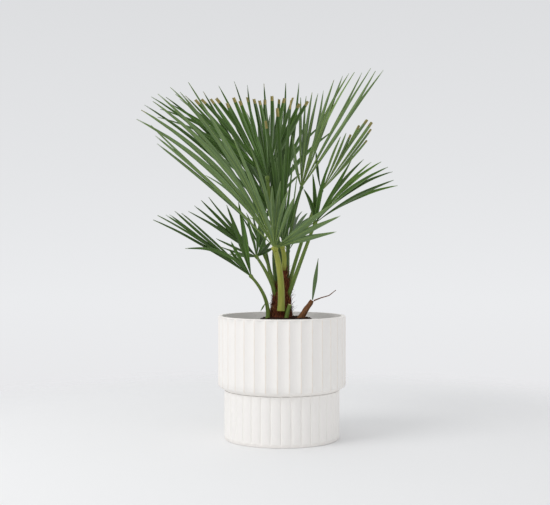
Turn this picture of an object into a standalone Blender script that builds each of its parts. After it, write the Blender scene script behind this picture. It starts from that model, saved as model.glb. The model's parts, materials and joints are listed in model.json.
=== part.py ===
"""A potted European fan palm: a fluted two-tier pot, its soil, a short trunk and thirteen fan fronds.

Metres, +Z up. The origin is the middle of the pot's flat underside, and -Y is the front.
Every frond is a petiole and, 0.3 mm past its tip, a blade of V-folded leaflets that share a heart.
"""
import math
from typing import NamedTuple

import bmesh
import bpy
from mathutils import Vector
from mathutils.bvhtree import BVHTree

MM = 0.001
GAP = 0.3
UP = Vector((0.0, 0.0, 1.0))
WELD = 0.00001
SMOOTH_ANGLE = 40.0
CUTTER_RISE = 5.0

# Pot, in mm
RIM_RADIUS = 130.0
RIM_HEIGHT = 249.5
RIM_RING = 2.0
UPPER_TIER_FOOT = 108.0
FLUTES = 35
FLUTE_DEPTH = 3.0
FIRST_FLUTE = -4.2
STEP_RADIUS = 117.5
STEP_HEIGHT = 97.5
REEDS = 36
REED_DEPTH = 2.4
FIRST_REED = -1.4
FOOT_BAND = 5.0
FOOT_BEVEL = 1.5
FOOT_INSET = 0.8
FOOT_EDGE = 0.5
TIER_OVERLAP = 1.0
WALL = 8.0
WALL_SLOPE = 8.0
RIM_INSET = 0.8
RIM_CHAMFER = 1.0
LOWER_WALL = 10.0
FLOOR = 10.0
POINTS_PER_FLUTE = 3
ROUND_STEPS = 36

# Soil, in mm: a level bed, and a mound round the trunk that leans to the right of the middle
SOIL_LEVEL = 230.0
MOUND_TOP = 246.5
MOUND_CENTRE = (8.0, -2.0)
MOUND_RADIUS = 44.0
MOUND_FOOT = 84.0
MOUND_SINK = 1.0
SOIL_CLEAR = 0.6
GROUND_DEPTH = 30.0

# Trunk: how high above the soil, how far it has leant to the right there, and its radius, in mm
TRUNK_FOOT = (-2.0, 0.0, MOUND_TOP + GAP)
TRUNK_RINGS = ((0.0, 0.0, 23.0), (7.0, 0.0, 20.5), (20.0, 1.0, 18.6), (38.0, 2.2, 17.0),
               (56.0, 3.6, 13.5), (76.0, 5.0, 9.0), (94.0, 6.0, 6.0))
TRUNK_SIDES = 14
TRUNK_CLEAR = 0.35

# Petioles and the hearts of the blades, in mm; the swell is the heart's radius over the petiole tip's
PETIOLE_SIDES = 8
PETIOLE_STEPS = 5
HEART_DEPTH = 6.0
HEART_LENGTH = 11.0
HEART_SWELL = (1.05, 1.3)

# Leaflets: sizes in mm, spacings in degrees, and the rest as shares
LEAF_THICKNESS = 3.2
THICKNESS_SHARE = 0.0103
TIP_THICKNESS = 0.5
LEAST_HALF_WIDTH = 0.9
FOLD = 0.55
OVERLAP = 1.25
BROADEST = 0.45
TAPER_POWER = 1.4
CUT_SHARE = 0.75
LONE_SPACING = 7.0
LEAST_SPACING = 2.2
LEAST_SPREAD = 0.05
STATIONS = (0.0, 0.33, 0.68, 1.0)
BOWED_STATIONS = (0.0, 0.2, 0.45, 0.73, 1.0)
BOWED = 0.2

# Ways to find a leaflet room: (lean, tilt) swings in degrees, then shorter lengths
CLEARANCE = 0.45
SWINGS = ((0, 0), (0, 5), (0, -5), (2, 0), (-2, 0), (0, 10), (0, -10), (3, 5), (-3, 5), (3, -5),
          (-3, -5), (0, 16), (0, -16), (5, 10), (-5, 10), (5, -10), (-5, -10))
SHORTENINGS = (1.0, 0.85, 0.7, 0.55)


class Section(NamedTuple):
    """A run of neighbouring leaflets, from its first to its last.

    A leaflet is (lean, tilt, length): degrees from upright to the right, degrees from the
    frond's own plane to its front, and mm from the heart to the tip.
    """
    count: int
    first: tuple
    last: tuple
    droop: float = 0.1
    swell: float = 0.0
    cut: bool = False


class Frond(NamedTuple):
    """A frond: where its petiole starts, how far it bends up, where its heart is, and its blade."""
    name: str
    foot: tuple
    bend: tuple
    hub: tuple
    thick: tuple
    width: float
    sections: tuple
    heading: float = 0.0


FRONDS = (
    Frond("fan_centre", (-3, 4, 308), (-17, 7, 420), (-29, 5, 524), (4.6, 3.4), 9.5, (
        Section(4, (-62, -2, 262), (-47, -6, 254), 0.25),
        Section(4, (-43, -8, 226), (-33, -11, 200), 0.05, cut=True),
        Section(6, (-28, -13, 190), (-6, -17, 178), 0.0, cut=True),
        Section(7, (-2, -18, 182), (27, -17, 188), 0.0, cut=True))),
    Frond("fan_front", (-2, -26.4, 260), (-3, -30.5, 325), (-13, -47, 381), (7.4, 5.2), 12.0, (
        Section(3, (-48, 6, 310), (-45, 4, 345), 0.12),
        Section(7, (-47, 3, 382), (-27, 8, 368), 0.42),
        Section(2, (-21, 20, 243), (-13, 30, 222), 0.15),
        Section(4, (-3, 50, 195), (21, 57, 188), 0.2),
        Section(3, (52, 37, 205), (75, 38, 150), 0.15))),
    Frond("fan_right_upper", (6, 8, 288), (15, 26, 400), (39, 38, 506), (4.4, 2.8), 9.0, (
        Section(8, (35, 0, 302), (17, -10, 250), 0.05),
        Section(5, (13, -11, 222), (0, -9, 200), 0.0),
        Section(2, (-9, 6, 110), (-16, 16, 66), 0.0))),
    Frond("fan_right_lower", (9, -7, 278), (38, -22, 360), (64, -38, 431), (4.6, 3.0), 9.0, (
        Section(4, (-20, 30, 86), (29, 15, 148), 0.05),
        Section(7, (38, 9, 162), (66, 15, 184), 0.3, 0.05))),
    Frond("fan_right_middle", (9, -1, 292), (42, 30, 402), (81, 62, 501), (4.2, 2.8), 10.5, (
        Section(6, (41, -16, 158), (28, -21, 150), 0.0, 0.3, cut=True),
        Section(2, (24, -23, 152), (20, -23, 138), 0.0),
        Section(1, (-8, 15, 84), (-8, 15, 84), 0.0))),
    Frond("fan_left_lower", (-29, -17, 243), (-34, -20, 285), (-58, -32, 325), (4.4, 2.8), 11.0, (
        Section(1, (-66, 15, 150), (-66, 15, 150), 0.55),
        Section(6, (-60, 8, 232), (-47, -2, 192), 0.06),
        Section(2, (-38, 4, 70), (-29, 5, 84), 0.0),
        Section(2, (-18, 6, 150), (-10, 8, 157), 0.12))),
    Frond("fan_left_middle", (-9, -5, 283), (-26, -13, 326), (-48, -14, 364), (4.4, 2.8), 8.5, (
        Section(3, (-84, -44, 84), (-66, -22, 100), 0.0),
        Section(4, (-56, 2, 168), (-39, 10, 158), 0.08),
        Section(5, (-14, -28, 96), (62, -60, 80), 0.0))),
    Frond("fan_heart", (3, -2, 339.4), (5, -5, 362), (2, -8, 384), (5.0, 4.2), 9.0, (
        Section(3, (-7, 0, 262), (3, 0, 300), 0.0, cut=True),
        Section(5, (-4, 13, 205), (17, 40, 158), 0.0))),
    Frond("fan_behind", (-6, 7, 286), (-16, 34, 360), (-10, 40, 430), (4.6, 3.2), 10.0, (
        Section(6, (-48, -3, 378), (-36, -8, 346), 0.35),
        Section(3, (-29, -11, 336), (-17, -13, 330), 0.05),
        Section(4, (-11, -14, 325), (9, -11, 310), -0.3))),
    Frond("fan_left_small", (-9, 0, 274), (-21, 8, 330), (-38, 22, 374), (3.2, 2.4), 6.5, (
        Section(5, (-30, -14, 94), (0, -48, 95), 0.0),)),
    Frond("fan_back_upper", (1, 11, 276), (-4, 50, 380), (-24, 100, 478), (4.6, 3.0), 10.0, (
        Section(5, (-40, 30, 250), (-8, 36, 272), 0.2),
        Section(8, (0, 37, 272), (50, 26, 235), 0.2)), 180.0),
    Frond("fan_back_left", (-7, 11, 256), (-26, 42, 342), (-42, 92, 424), (4.6, 3.0), 10.0, (
        Section(6, (-34, 46, 235), (-2, 58, 262), 0.25),
        Section(6, (5, 58, 262), (46, 40, 230), 0.25)), 180.0),
    Frond("fan_back_lower", (8, 11, 254), (12, 46, 324), (14, 96, 376), (4.6, 3.0), 10.0, (
        Section(6, (-46, 58, 205), (-4, 70, 255), 0.2),
        Section(6, (6, 70, 255), (48, 56, 205), 0.2)), 180.0),
)

# Small pieces round the foot: named points of each limb, then its radii, in mm
CUT_STALK = ((8.5, -25.5, 243), (11, -26.5, 258), (16, -28, 273), (4.4, 4.2, 4.0))
SUCKER = ((35, -20, 241), (50, -20, 264), (61, -20, 281), (7.0, 5.6, 4.0))
SUCKER_TWIG = ((64.4, -20.6, 280.5), (78, -21, 286), (95, -22, 291), (109, -24, 302))
SUCKER_TWIG_RADII = (1.6, 1.2, 1.0, 0.7)
SUCKER_LEAF = ((61.7, -20, 282.1), (73.5, -20, 366), 8.6)
SIDE_BLADE = ((-34.0, -21.8, 275), (-43.5, -26, 259), 3.4)
LANCE_STATIONS = ((0.0, 0.3), (0.3, 1.0), (0.65, 0.75), (1.0, 0.12))
LANCE_HALF_THICKNESS = 1.4


def hex_colour(code: str) -> tuple:
    """Linear RGBA of an sRGB hex colour."""
    channels = [int(code[i:i + 2], 16) / 255 for i in (1, 3, 5)]
    linear = [c / 12.92 if c <= 0.04045 else ((c + 0.055) / 1.055) ** 2.4 for c in channels]
    return (*linear, 1.0)


def make_material(name: str, code: str, roughness: float) -> bpy.types.Material:
    """A Principled BSDF of one colour."""
    material = bpy.data.materials.new(name)
    material.use_nodes = True
    shader = material.node_tree.nodes["Principled BSDF"]
    shader.inputs["Base Color"].default_value = hex_colour(code)
    shader.inputs["Roughness"].default_value = roughness
    shader.inputs["Metallic"].default_value = 0.0
    return material


def clear_scene() -> None:
    """Remove whatever the file opened with."""
    for obj in list(bpy.data.objects):
        bpy.data.objects.remove(obj, do_unlink=True)


def make_collection(name: str) -> bpy.types.Collection:
    """A new collection in the scene."""
    collection = bpy.data.collections.new(name)
    bpy.context.scene.collection.children.link(collection)
    return collection


def add_object(name: str, data, collection, material=None) -> bpy.types.Object:
    """A named object in a collection, with its material."""
    obj = bpy.data.objects.new(name, data)
    collection.objects.link(obj)
    if material is not None:
        obj.data.materials.clear()
        obj.data.materials.append(material)
    return obj


def as_helper(obj) -> None:
    """Mark an object as a cutter that is no part of the palm."""
    obj.hide_render = True
    obj.display_type = "WIRE"


def bake(obj, weld: bool = True) -> bpy.types.Mesh:
    """The mesh of an object as its modifiers and curve settings leave it, doubles welded if asked."""
    depsgraph = bpy.context.evaluated_depsgraph_get()
    mesh = bpy.data.meshes.new_from_object(obj.evaluated_get(depsgraph), depsgraph=depsgraph)
    work = bmesh.new()
    work.from_mesh(mesh)
    if weld:
        bmesh.ops.remove_doubles(work, verts=work.verts, dist=WELD)
    bmesh.ops.recalc_face_normals(work, faces=work.faces)
    work.to_mesh(mesh)
    work.free()
    return mesh


def shade_round(mesh) -> None:
    """Smooth shading, with the edges past a set angle left sharp."""
    mesh.shade_smooth()
    mesh.set_sharp_from_angle(angle=math.radians(SMOOTH_ANGLE))


def turned(name: str, profile, steps: int, collection, material=None):
    """A solid turned about Z from (radius, height) points in mm, listed from top to bottom."""
    mesh = bpy.data.meshes.new(name)
    work = bmesh.new()
    verts = [work.verts.new((r * MM, 0.0, z * MM)) for r, z in profile]
    for a, b in zip(verts, verts[1:]):
        work.edges.new((a, b))
    work.to_mesh(mesh)
    work.free()
    obj = add_object(name, mesh, collection, material)
    screw = obj.modifiers.new("turn", "SCREW")
    screw.steps = screw.render_steps = steps
    screw.use_merge_vertices = True
    screw.merge_threshold = WELD
    baked = bake(obj)
    obj.modifiers.remove(screw)
    obj.data = baked
    return obj


def lofted(name: str, rings, collection, material=None):
    """A closed solid through rings of (x, y) points, each at its own height, from low to high, in mm."""
    work = bmesh.new()
    loops = [[work.verts.new((x * MM, y * MM, z * MM)) for x, y in ring] for z, ring in rings]
    for near, far in zip(loops, loops[1:]):
        for k, corner in enumerate(near):
            after = (k + 1) % len(near)
            work.faces.new((corner, near[after], far[after], far[k]))
    work.faces.new(list(reversed(loops[0])))
    work.faces.new(loops[-1])
    bmesh.ops.recalc_face_normals(work, faces=work.faces)
    mesh = bpy.data.meshes.new(name)
    work.to_mesh(mesh)
    work.free()
    return add_object(name, mesh, collection, material)


def ribbed_outline(radius: float, count: int, depth: float, first: float, hollow: bool) -> list:
    """Points round a wall of flutes (hollow) or reeds (round), in mm.

    The first sharp edge stands `first` degrees to the right of the front. A depth of zero gives
    a plain round ring with its points in the same places.
    """
    points = []
    for i in range(count * POINTS_PER_FLUTE):
        share = i / POINTS_PER_FLUTE
        arch = math.sin(math.pi * (share % 1.0))
        dip = arch if hollow else 1.0 - arch ** 0.5
        angle = math.radians(first) + share / count * math.tau
        r = radius - depth * dip
        points.append((r * math.sin(angle), -r * math.cos(angle)))
    return points


def boolean(obj, operation: str, other) -> None:
    """Leave a Boolean modifier on an object, with another object as its operand."""
    modifier = obj.modifiers.new(operation.lower(), "BOOLEAN")
    modifier.operation = operation
    modifier.object = other


def make_pot(parts, cutters, material) -> None:
    """The pot: fluted upper tier on a reeded lower tier, hollowed from above."""
    def upper(radius: float, depth: float) -> list:
        """A ring of the upper tier; a depth of zero leaves it plain."""
        return ribbed_outline(radius, FLUTES, depth, FIRST_FLUTE, True)

    def lower(radius: float, depth: float) -> list:
        """A ring of the lower tier; a depth of zero leaves it plain."""
        return ribbed_outline(radius, REEDS, depth, FIRST_REED, False)

    rim = RIM_RADIUS - RIM_INSET
    pot = lofted("pot", ((STEP_HEIGHT, upper(STEP_RADIUS - FLUTE_DEPTH, 0)),
                         (UPPER_TIER_FOOT, upper(RIM_RADIUS, FLUTE_DEPTH)),
                         (RIM_HEIGHT - RIM_RING - RIM_CHAMFER, upper(RIM_RADIUS, FLUTE_DEPTH)),
                         (RIM_HEIGHT - RIM_RING, upper(rim, 0)),
                         (RIM_HEIGHT, upper(rim, 0))), parts, material)
    foot = STEP_RADIUS - FOOT_INSET
    base = lofted("lower_tier", ((0, lower(STEP_RADIUS - REED_DEPTH, 0)),
                                 (FOOT_BEVEL, lower(foot, 0)),
                                 (FOOT_BAND, lower(foot, 0)),
                                 (FOOT_BAND + FOOT_EDGE, lower(STEP_RADIUS, REED_DEPTH)),
                                 (STEP_HEIGHT + TIER_OVERLAP, lower(STEP_RADIUS, REED_DEPTH))), cutters)
    wide, narrow, top = RIM_RADIUS - WALL, STEP_RADIUS - LOWER_WALL, RIM_HEIGHT + CUTTER_RISE
    hollow = turned("cut_hollow", ((0, top), (wide, top), (wide, UPPER_TIER_FOOT + WALL_SLOPE),
                                   (narrow, STEP_HEIGHT), (narrow, FLOOR), (0, FLOOR)),
                    ROUND_STEPS, cutters)
    boolean(pot, "UNION", base)
    boolean(pot, "DIFFERENCE", hollow)
    as_helper(base)
    as_helper(hollow)


def make_soil(parts, cutters, material) -> None:
    """The soil: it fills the pot just clear of its wall, and mounds up round the trunk's foot."""
    wall = RIM_RADIUS - WALL - SOIL_CLEAR
    lower = STEP_RADIUS - LOWER_WALL - SOIL_CLEAR
    slope = UPPER_TIER_FOOT + WALL_SLOPE + SOIL_CLEAR
    bottom = FLOOR + GAP
    soil = turned("soil", ((0, SOIL_LEVEL), (wall, SOIL_LEVEL), (wall, slope),
                           (lower, STEP_HEIGHT + SOIL_CLEAR), (lower, bottom), (0, bottom)),
                  ROUND_STEPS, parts, material)
    sunk = SOIL_LEVEL - MOUND_SINK
    mound = turned("mound", ((0, MOUND_TOP), (MOUND_RADIUS, MOUND_TOP), (MOUND_FOOT, sunk), (0, sunk)),
                   ROUND_STEPS, cutters)
    shift = Vector((*MOUND_CENTRE, 0.0)) * MM
    for vert in mound.data.vertices:
        vert.co += shift
    boolean(soil, "UNION", mound)
    as_helper(mound)


def make_ground_cutter(cutters):
    """A slab up to just above the mound, which gives whatever stands on it a flat foot."""
    top = MOUND_TOP + GAP
    low = top - GROUND_DEPTH
    slab = turned("cut_ground", ((0, top), (MOUND_FOOT, top), (MOUND_FOOT, low), (0, low)),
                  ROUND_STEPS, cutters)
    as_helper(slab)
    return slab


def make_limb(name: str, points, radii, sides: int, collection, material=None):
    """A tapering round limb through points, as a mesh; points and radii in metres."""
    curve = bpy.data.curves.new(name, "CURVE")
    curve.dimensions = "3D"
    curve.bevel_depth = 1.0
    curve.bevel_resolution = sides // 2 - 2
    curve.use_fill_caps = True
    spline = curve.splines.new("POLY")
    spline.points.add(len(points) - 1)
    for point, place, radius in zip(spline.points, points, radii):
        point.co = (*place, 1.0)
        point.radius = radius
    source = add_object(name + "_line", curve, collection)
    mesh = bake(source)
    bpy.data.objects.remove(source, do_unlink=True)
    shade_round(mesh)
    return add_object(name, mesh, collection, material)


def make_trunk(parts, material):
    """The trunk: flared at its foot, leaning a little, tapering to its tip.

    Returns:
        The trunk, and a slightly fatter copy that the petioles are cut with.
    """
    foot = Vector(TRUNK_FOOT)
    limbs = []
    for name, grow in (("trunk", 0.0), ("cut_trunk", TRUNK_CLEAR)):
        points = [(foot + Vector((lean, 0.0, rise))) * MM for rise, lean, _ in TRUNK_RINGS]
        radii = [(radius + grow) * MM for _, _, radius in TRUNK_RINGS]
        points[-1] += UP * grow * MM
        limbs.append(make_limb(name, points, radii, TRUNK_SIDES, parts, material))
    return limbs


def petiole_route(frond: Frond) -> list:
    """Points along a petiole in metres: a quadratic curve through its foot and its tip."""
    foot, bend, hub = (Vector(p) * MM for p in (frond.foot, frond.bend, frond.hub))
    control = bend * 2 - (foot + hub) * 0.5
    shares = [i / PETIOLE_STEPS for i in range(PETIOLE_STEPS + 1)]
    return [foot * (1 - s) ** 2 + control * (2 * s * (1 - s)) + hub * s * s for s in shares]


def make_petioles(parts, trunk_cutter, ground_cutter, material) -> dict:
    """All petioles, each tapering to its tip and cut clear of the trunk, or of the soil at its foot."""
    petioles = {}
    for frond in FRONDS:
        route = petiole_route(frond)
        thick, thin = frond.thick
        radii = [(thick + (thin - thick) * i / PETIOLE_STEPS) * MM for i in range(PETIOLE_STEPS + 1)]
        petiole = make_limb("petiole_" + frond.name[4:], route, radii, PETIOLE_SIDES, parts, material)
        on_soil = frond.foot[2] < MOUND_TOP
        boolean(petiole, "DIFFERENCE", ground_cutter if on_soil else trunk_cutter)
        petioles[frond.name] = petiole
    return petioles


def leaflet_direction(frond: Frond, lean: float, tilt: float) -> Vector:
    """Unit direction of a leaflet from its lean and tilt, turned by the frond's heading."""
    lean, tilt, turn = (math.radians(a) for a in (lean, tilt, frond.heading))
    across, forward, rise = math.sin(lean) * math.cos(tilt), math.sin(tilt), math.cos(lean) * math.cos(tilt)
    x = across * math.cos(turn) + forward * math.sin(turn)
    y = across * math.sin(turn) - forward * math.cos(turn)
    return Vector((x, y, rise))


def blend(first, last, share: float) -> tuple:
    """The values a share of the way from one leaflet to another."""
    return tuple(a + (b - a) * share for a, b in zip(first, last))


def leaflets_of(frond: Frond):
    """Every leaflet of a blade: its section, its (lean, tilt, length) and the angle to the next."""
    for section in frond.sections:
        steps = max(section.count - 1, 1)
        first = leaflet_direction(frond, *section.first[:2])
        last = leaflet_direction(frond, *section.last[:2])
        spacing = first.angle(last, 0.0) / steps if section.count > 1 else math.radians(LONE_SPACING)
        for i in range(section.count):
            share = i / steps
            lean, tilt, length = blend(section.first, section.last, share)
            length *= 1 + section.swell * 4 * share * (1 - share)
            yield section, (lean, tilt, length), max(spacing, math.radians(LEAST_SPACING))


def leaflet_across(frond: Frond, section: Section, direction: Vector) -> Vector:
    """The direction in which a leaflet is broad: towards its neighbours in the fan."""
    first = leaflet_direction(frond, *section.first[:2])
    last = leaflet_direction(frond, *section.last[:2])
    spread = last - first
    if spread.length < LEAST_SPREAD:
        turn = math.radians(frond.heading)
        spread = Vector((math.cos(turn), math.sin(turn), 0.0))
    return (spread - direction * spread.dot(direction)).normalized()


def half_width(frond: Frond, section: Section, share: float, length: float, spacing: float) -> float:
    """Half of a leaflet's width in metres, a share of the way along it."""
    joined = spacing * share * length * MM / 2 * OVERLAP
    whole = share * CUT_SHARE if section.cut else share
    taper = 1.0 if whole < BROADEST else 1.0 - ((whole - BROADEST) / (1.0 - BROADEST)) ** TAPER_POWER
    return max(min(joined, frond.width / 2 * MM) * taper, LEAST_HALF_WIDTH * MM)


def loft(work, rings) -> None:
    """Close a bmesh solid through rings of vertices."""
    for near, far in zip(rings, rings[1:]):
        for k, corner in enumerate(near):
            after = (k + 1) % len(near)
            work.faces.new((corner, near[after], far[after], far[k]))
    work.faces.new(list(reversed(rings[0])))
    work.faces.new(rings[-1])
    bmesh.ops.triangulate(work, faces=work.faces)
    bmesh.ops.recalc_face_normals(work, faces=work.faces)


def leaflet_mesh(frond: Frond, section: Section, heart: Vector, values, spacing: float, grow: float = 0.0):
    """A V-folded leaflet as a closed bmesh: a dart section lofted along its drooping midrib."""
    lean, tilt, length = values
    along = leaflet_direction(frond, lean, tilt)
    across = leaflet_across(frond, section, along)
    face = across.cross(along).normalized()
    rise = UP - along * UP.dot(along)
    stations = BOWED_STATIONS if abs(section.droop) > BOWED else STATIONS
    thickness = max(LEAF_THICKNESS, length * THICKNESS_SHARE) * MM
    work = bmesh.new()
    rings = []
    for share in stations:
        bow = rise * (section.droop * share * (1 - share))
        middle = heart + (along * share + bow) * length * MM
        half = half_width(frond, section, share, length, spacing) + grow
        thinning = TIP_THICKNESS if share == 1.0 and not section.cut else 1.0
        thick = thickness * thinning / 2 + grow
        edge = face * (half * FOLD)
        ring = (middle - across * half + edge, middle + edge - face * (thick + half * FOLD),
                middle + across * half + edge)
        rings.append([work.verts.new(corner) for corner in ring])
    loft(work, rings)
    return work


def find_place(frond, section, heart, values, spacing, taken):
    """A leaflet that touches nothing: as asked, or swung a little, or shortened, or None."""
    lean, tilt, length = values
    for shortening in SHORTENINGS:
        for d_lean, d_tilt in SWINGS:
            trial = (lean + d_lean, tilt + d_tilt, length * shortening)
            probe = leaflet_mesh(frond, section, heart, trial, spacing, CLEARANCE * MM)
            tree = BVHTree.FromBMesh(probe)
            probe.free()
            if not any(tree.overlap(other) for other in taken):
                return leaflet_mesh(frond, section, heart, trial, spacing)
    return None


def tree_of(obj) -> BVHTree:
    """A search tree of an object's mesh as its modifiers leave it."""
    return BVHTree.FromObject(obj, bpy.context.evaluated_depsgraph_get())


def make_blade(frond: Frond, parts, material, taken) -> None:
    """A frond's blade: its heart and leaflets joined into one solid, clear of all in `taken`."""
    route = petiole_route(frond)
    tangent = (route[-1] - route[-2]).normalized()
    tip = route[-1]
    start = tip + tangent * GAP * MM
    heart = tip + tangent * HEART_DEPTH * MM
    thin = frond.thick[1] * MM
    ends = (start, start + tangent * HEART_LENGTH * MM)
    radii = [thin * swell for swell in HEART_SWELL]
    blade = make_limb(frond.name, ends, radii, PETIOLE_SIDES, parts, material)
    leaves = bpy.data.collections.new(frond.name + "_leaflets")
    trees = []
    for section, values, spacing in leaflets_of(frond):
        work = find_place(frond, section, heart, values, spacing, taken)
        if work is None:
            continue
        trees.append(BVHTree.FromBMesh(work))
        mesh = bpy.data.meshes.new("leaflet")
        work.to_mesh(mesh)
        work.free()
        leaves.objects.link(bpy.data.objects.new("leaflet", mesh))
    bpy.context.scene.collection.children.link(leaves)
    join = blade.modifiers.new("join", "BOOLEAN")
    join.operation = "UNION"
    join.operand_type = "COLLECTION"
    join.collection = leaves
    join.solver = "MANIFOLD"
    baked = bake(blade, weld=False)
    blade.modifiers.remove(join)
    blade.data = baked
    for leaf in list(leaves.objects):
        bpy.data.objects.remove(leaf, do_unlink=True)
    bpy.data.collections.remove(leaves)
    taken.extend(trees)


def make_lance(name: str, low, high, width: float, parts, material):
    """A lance-shaped leaf between two points in mm, diamond in section."""
    low, high = Vector(low) * MM, Vector(high) * MM
    along = (high - low).normalized()
    across = along.cross(Vector((0.0, 1.0, 0.0))).normalized()
    face = across.cross(along)
    work = bmesh.new()
    rings = []
    for share, broad in LANCE_STATIONS:
        middle = low + (high - low) * share
        half = width / 2 * MM * broad
        thick = min(LANCE_HALF_THICKNESS * MM, half)
        ring = (middle - across * half, middle - face * thick, middle + across * half, middle + face * thick)
        rings.append([work.verts.new(corner) for corner in ring])
    loft(work, rings)
    mesh = bpy.data.meshes.new(name)
    work.to_mesh(mesh)
    work.free()
    return add_object(name, mesh, parts, material)


def make_foot_pieces(parts, ground_cutter, green, bark) -> list:
    """The cut stalk, the sucker with its twig and leaf, and the small blade on the left petiole."""
    def limb(name, points, radii, material):
        """A limb from points and radii in mm."""
        return make_limb(name, [Vector(p) * MM for p in points], [r * MM for r in radii],
                         PETIOLE_SIDES, parts, material)

    stalk = limb("cut_stalk", CUT_STALK[:3], CUT_STALK[3], green)
    sucker = limb("sucker", SUCKER[:3], SUCKER[3], bark)
    for standing in (stalk, sucker):
        boolean(standing, "DIFFERENCE", ground_cutter)
    return [
        stalk,
        sucker,
        limb("sucker_twig", SUCKER_TWIG, SUCKER_TWIG_RADII, bark),
        make_lance("sucker_leaf", *SUCKER_LEAF, parts, green),
        make_lance("side_blade", *SIDE_BLADE, parts, green),
    ]


def main() -> None:
    """Build the palm, pot first, then soil, trunk, petioles and blades."""
    clear_scene()
    parts = make_collection("potted_fan_palm")
    cutters = make_collection("cutters")
    ceramic = make_material("pot_ceramic", "#F3F0EC", 0.45)
    earth = make_material("potting_soil", "#2E1B14", 0.95)
    bark = make_material("fibrous_bark", "#6B4026", 0.9)
    stalk = make_material("green_stalk", "#8A9645", 0.5)
    leaf = make_material("fan_leaf", "#4F6B32", 0.5)
    make_pot(parts, cutters, ceramic)
    make_soil(parts, cutters, earth)
    ground = make_ground_cutter(cutters)
    trunk, cutter = make_trunk(parts, bark)
    parts.objects.unlink(cutter)
    cutters.objects.link(cutter)
    as_helper(cutter)
    petioles = make_petioles(parts, cutter, ground, stalk)
    foot_pieces = make_foot_pieces(parts, ground, stalk, bark)
    limbs = [trunk, *petioles.values(), *foot_pieces]
    taken = [tree_of(limb) for limb in limbs]
    for frond in FRONDS:
        make_blade(frond, parts, leaf, taken)


if __name__ == "__main__":
    main()
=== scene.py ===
"""Potted European fan palm: the looks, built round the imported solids.

Metres, +Z up, and -Y is the front that the photograph shows. Soil, trunk, petioles and blades
stand where their solids are, each grown again in finer form by the rule its solid follows.
"""
import json
import logging
import math
import random
from dataclasses import dataclass, replace
from enum import Enum
from typing import Any, Iterator, Sequence

import bmesh
import bpy
from mathutils import Matrix, Vector, noise
from mathutils.bvhtree import BVHTree

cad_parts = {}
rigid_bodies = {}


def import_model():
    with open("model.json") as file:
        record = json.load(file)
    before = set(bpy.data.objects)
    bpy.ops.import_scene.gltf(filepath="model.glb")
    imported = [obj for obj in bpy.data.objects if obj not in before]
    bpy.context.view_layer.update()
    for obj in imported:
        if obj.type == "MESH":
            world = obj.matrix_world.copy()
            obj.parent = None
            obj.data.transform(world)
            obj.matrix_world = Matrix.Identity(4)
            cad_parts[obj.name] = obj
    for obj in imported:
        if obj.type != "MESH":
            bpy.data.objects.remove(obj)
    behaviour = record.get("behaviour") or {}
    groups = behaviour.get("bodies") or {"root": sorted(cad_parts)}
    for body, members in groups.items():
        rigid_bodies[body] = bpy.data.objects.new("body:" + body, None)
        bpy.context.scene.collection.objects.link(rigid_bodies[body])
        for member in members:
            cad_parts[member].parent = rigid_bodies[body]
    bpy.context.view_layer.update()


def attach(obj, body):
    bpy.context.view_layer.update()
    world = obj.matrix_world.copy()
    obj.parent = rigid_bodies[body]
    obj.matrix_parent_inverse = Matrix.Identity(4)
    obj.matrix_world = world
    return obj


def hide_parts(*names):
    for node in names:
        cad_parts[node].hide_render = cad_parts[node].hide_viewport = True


MM = 0.001
UP = Vector((0.0, 0.0, 1.0))
BODY = "root"

log = logging.getLogger("fan_palm")


class Slot(Enum):
    """The record's material slots."""
    POT = "pot_ceramic"
    SOIL = "potting_soil"
    BARK = "fibrous_bark"
    STALK = "green_stalk"
    LEAF = "fan_leaf"


class Facing(Enum):
    """Which side of a blade looks to the frond's own front."""
    UPPER = 1
    UNDER = -1


def linear(code: str) -> tuple[float, float, float, float]:
    """Linear RGBA of an sRGB hex colour.

    Args:
        code: the colour as "#RRGGBB".

    Returns:
        Red, green, blue and alpha, linear.
    """
    channels = [int(code[i:i + 2], 16) / 255 for i in (1, 3, 5)]
    red, green, blue = (c / 12.92 if c <= 0.04045 else ((c + 0.055) / 1.055) ** 2.4 for c in channels)
    return red, green, blue, 1.0


def add_node(tree: bpy.types.NodeTree, kind: str, links: dict | None = None, **settings: Any):
    """Add a node with its settings, and link or set its inputs.

    Args:
        tree: the node tree that it joins.
        kind: the node's type.
        links: input name or number to an output socket, which is linked, or a plain value.
        **settings: the node's own properties.

    Returns:
        The new node.
    """
    node = tree.nodes.new(kind)
    for name, value in settings.items():
        setattr(node, name, value)
    for key, value in (links or {}).items():
        if isinstance(value, bpy.types.NodeSocket):
            tree.links.new(value, node.inputs[key])
        else:
            node.inputs[key].default_value = value
    return node


def start_material(name: str, **sockets: Any) -> tuple[bpy.types.Material, bpy.types.Node]:
    """A new node material.

    Args:
        name: the material's name.
        **sockets: values for the shader's sockets, with _ for a space in the socket's name.

    Returns:
        The material and its Principled BSDF.
    """
    material = bpy.data.materials.new(name)
    material.use_nodes = True
    shader = material.node_tree.nodes["Principled BSDF"]
    for key, value in sockets.items():
        shader.inputs[key.replace("_", " ")].default_value = value
    return material, shader


def per_mm(size_mm: float) -> float:
    """The texture scale whose features are about a given size in mm, on coordinates in metres."""
    return 1.0 / (size_mm * MM)


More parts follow.
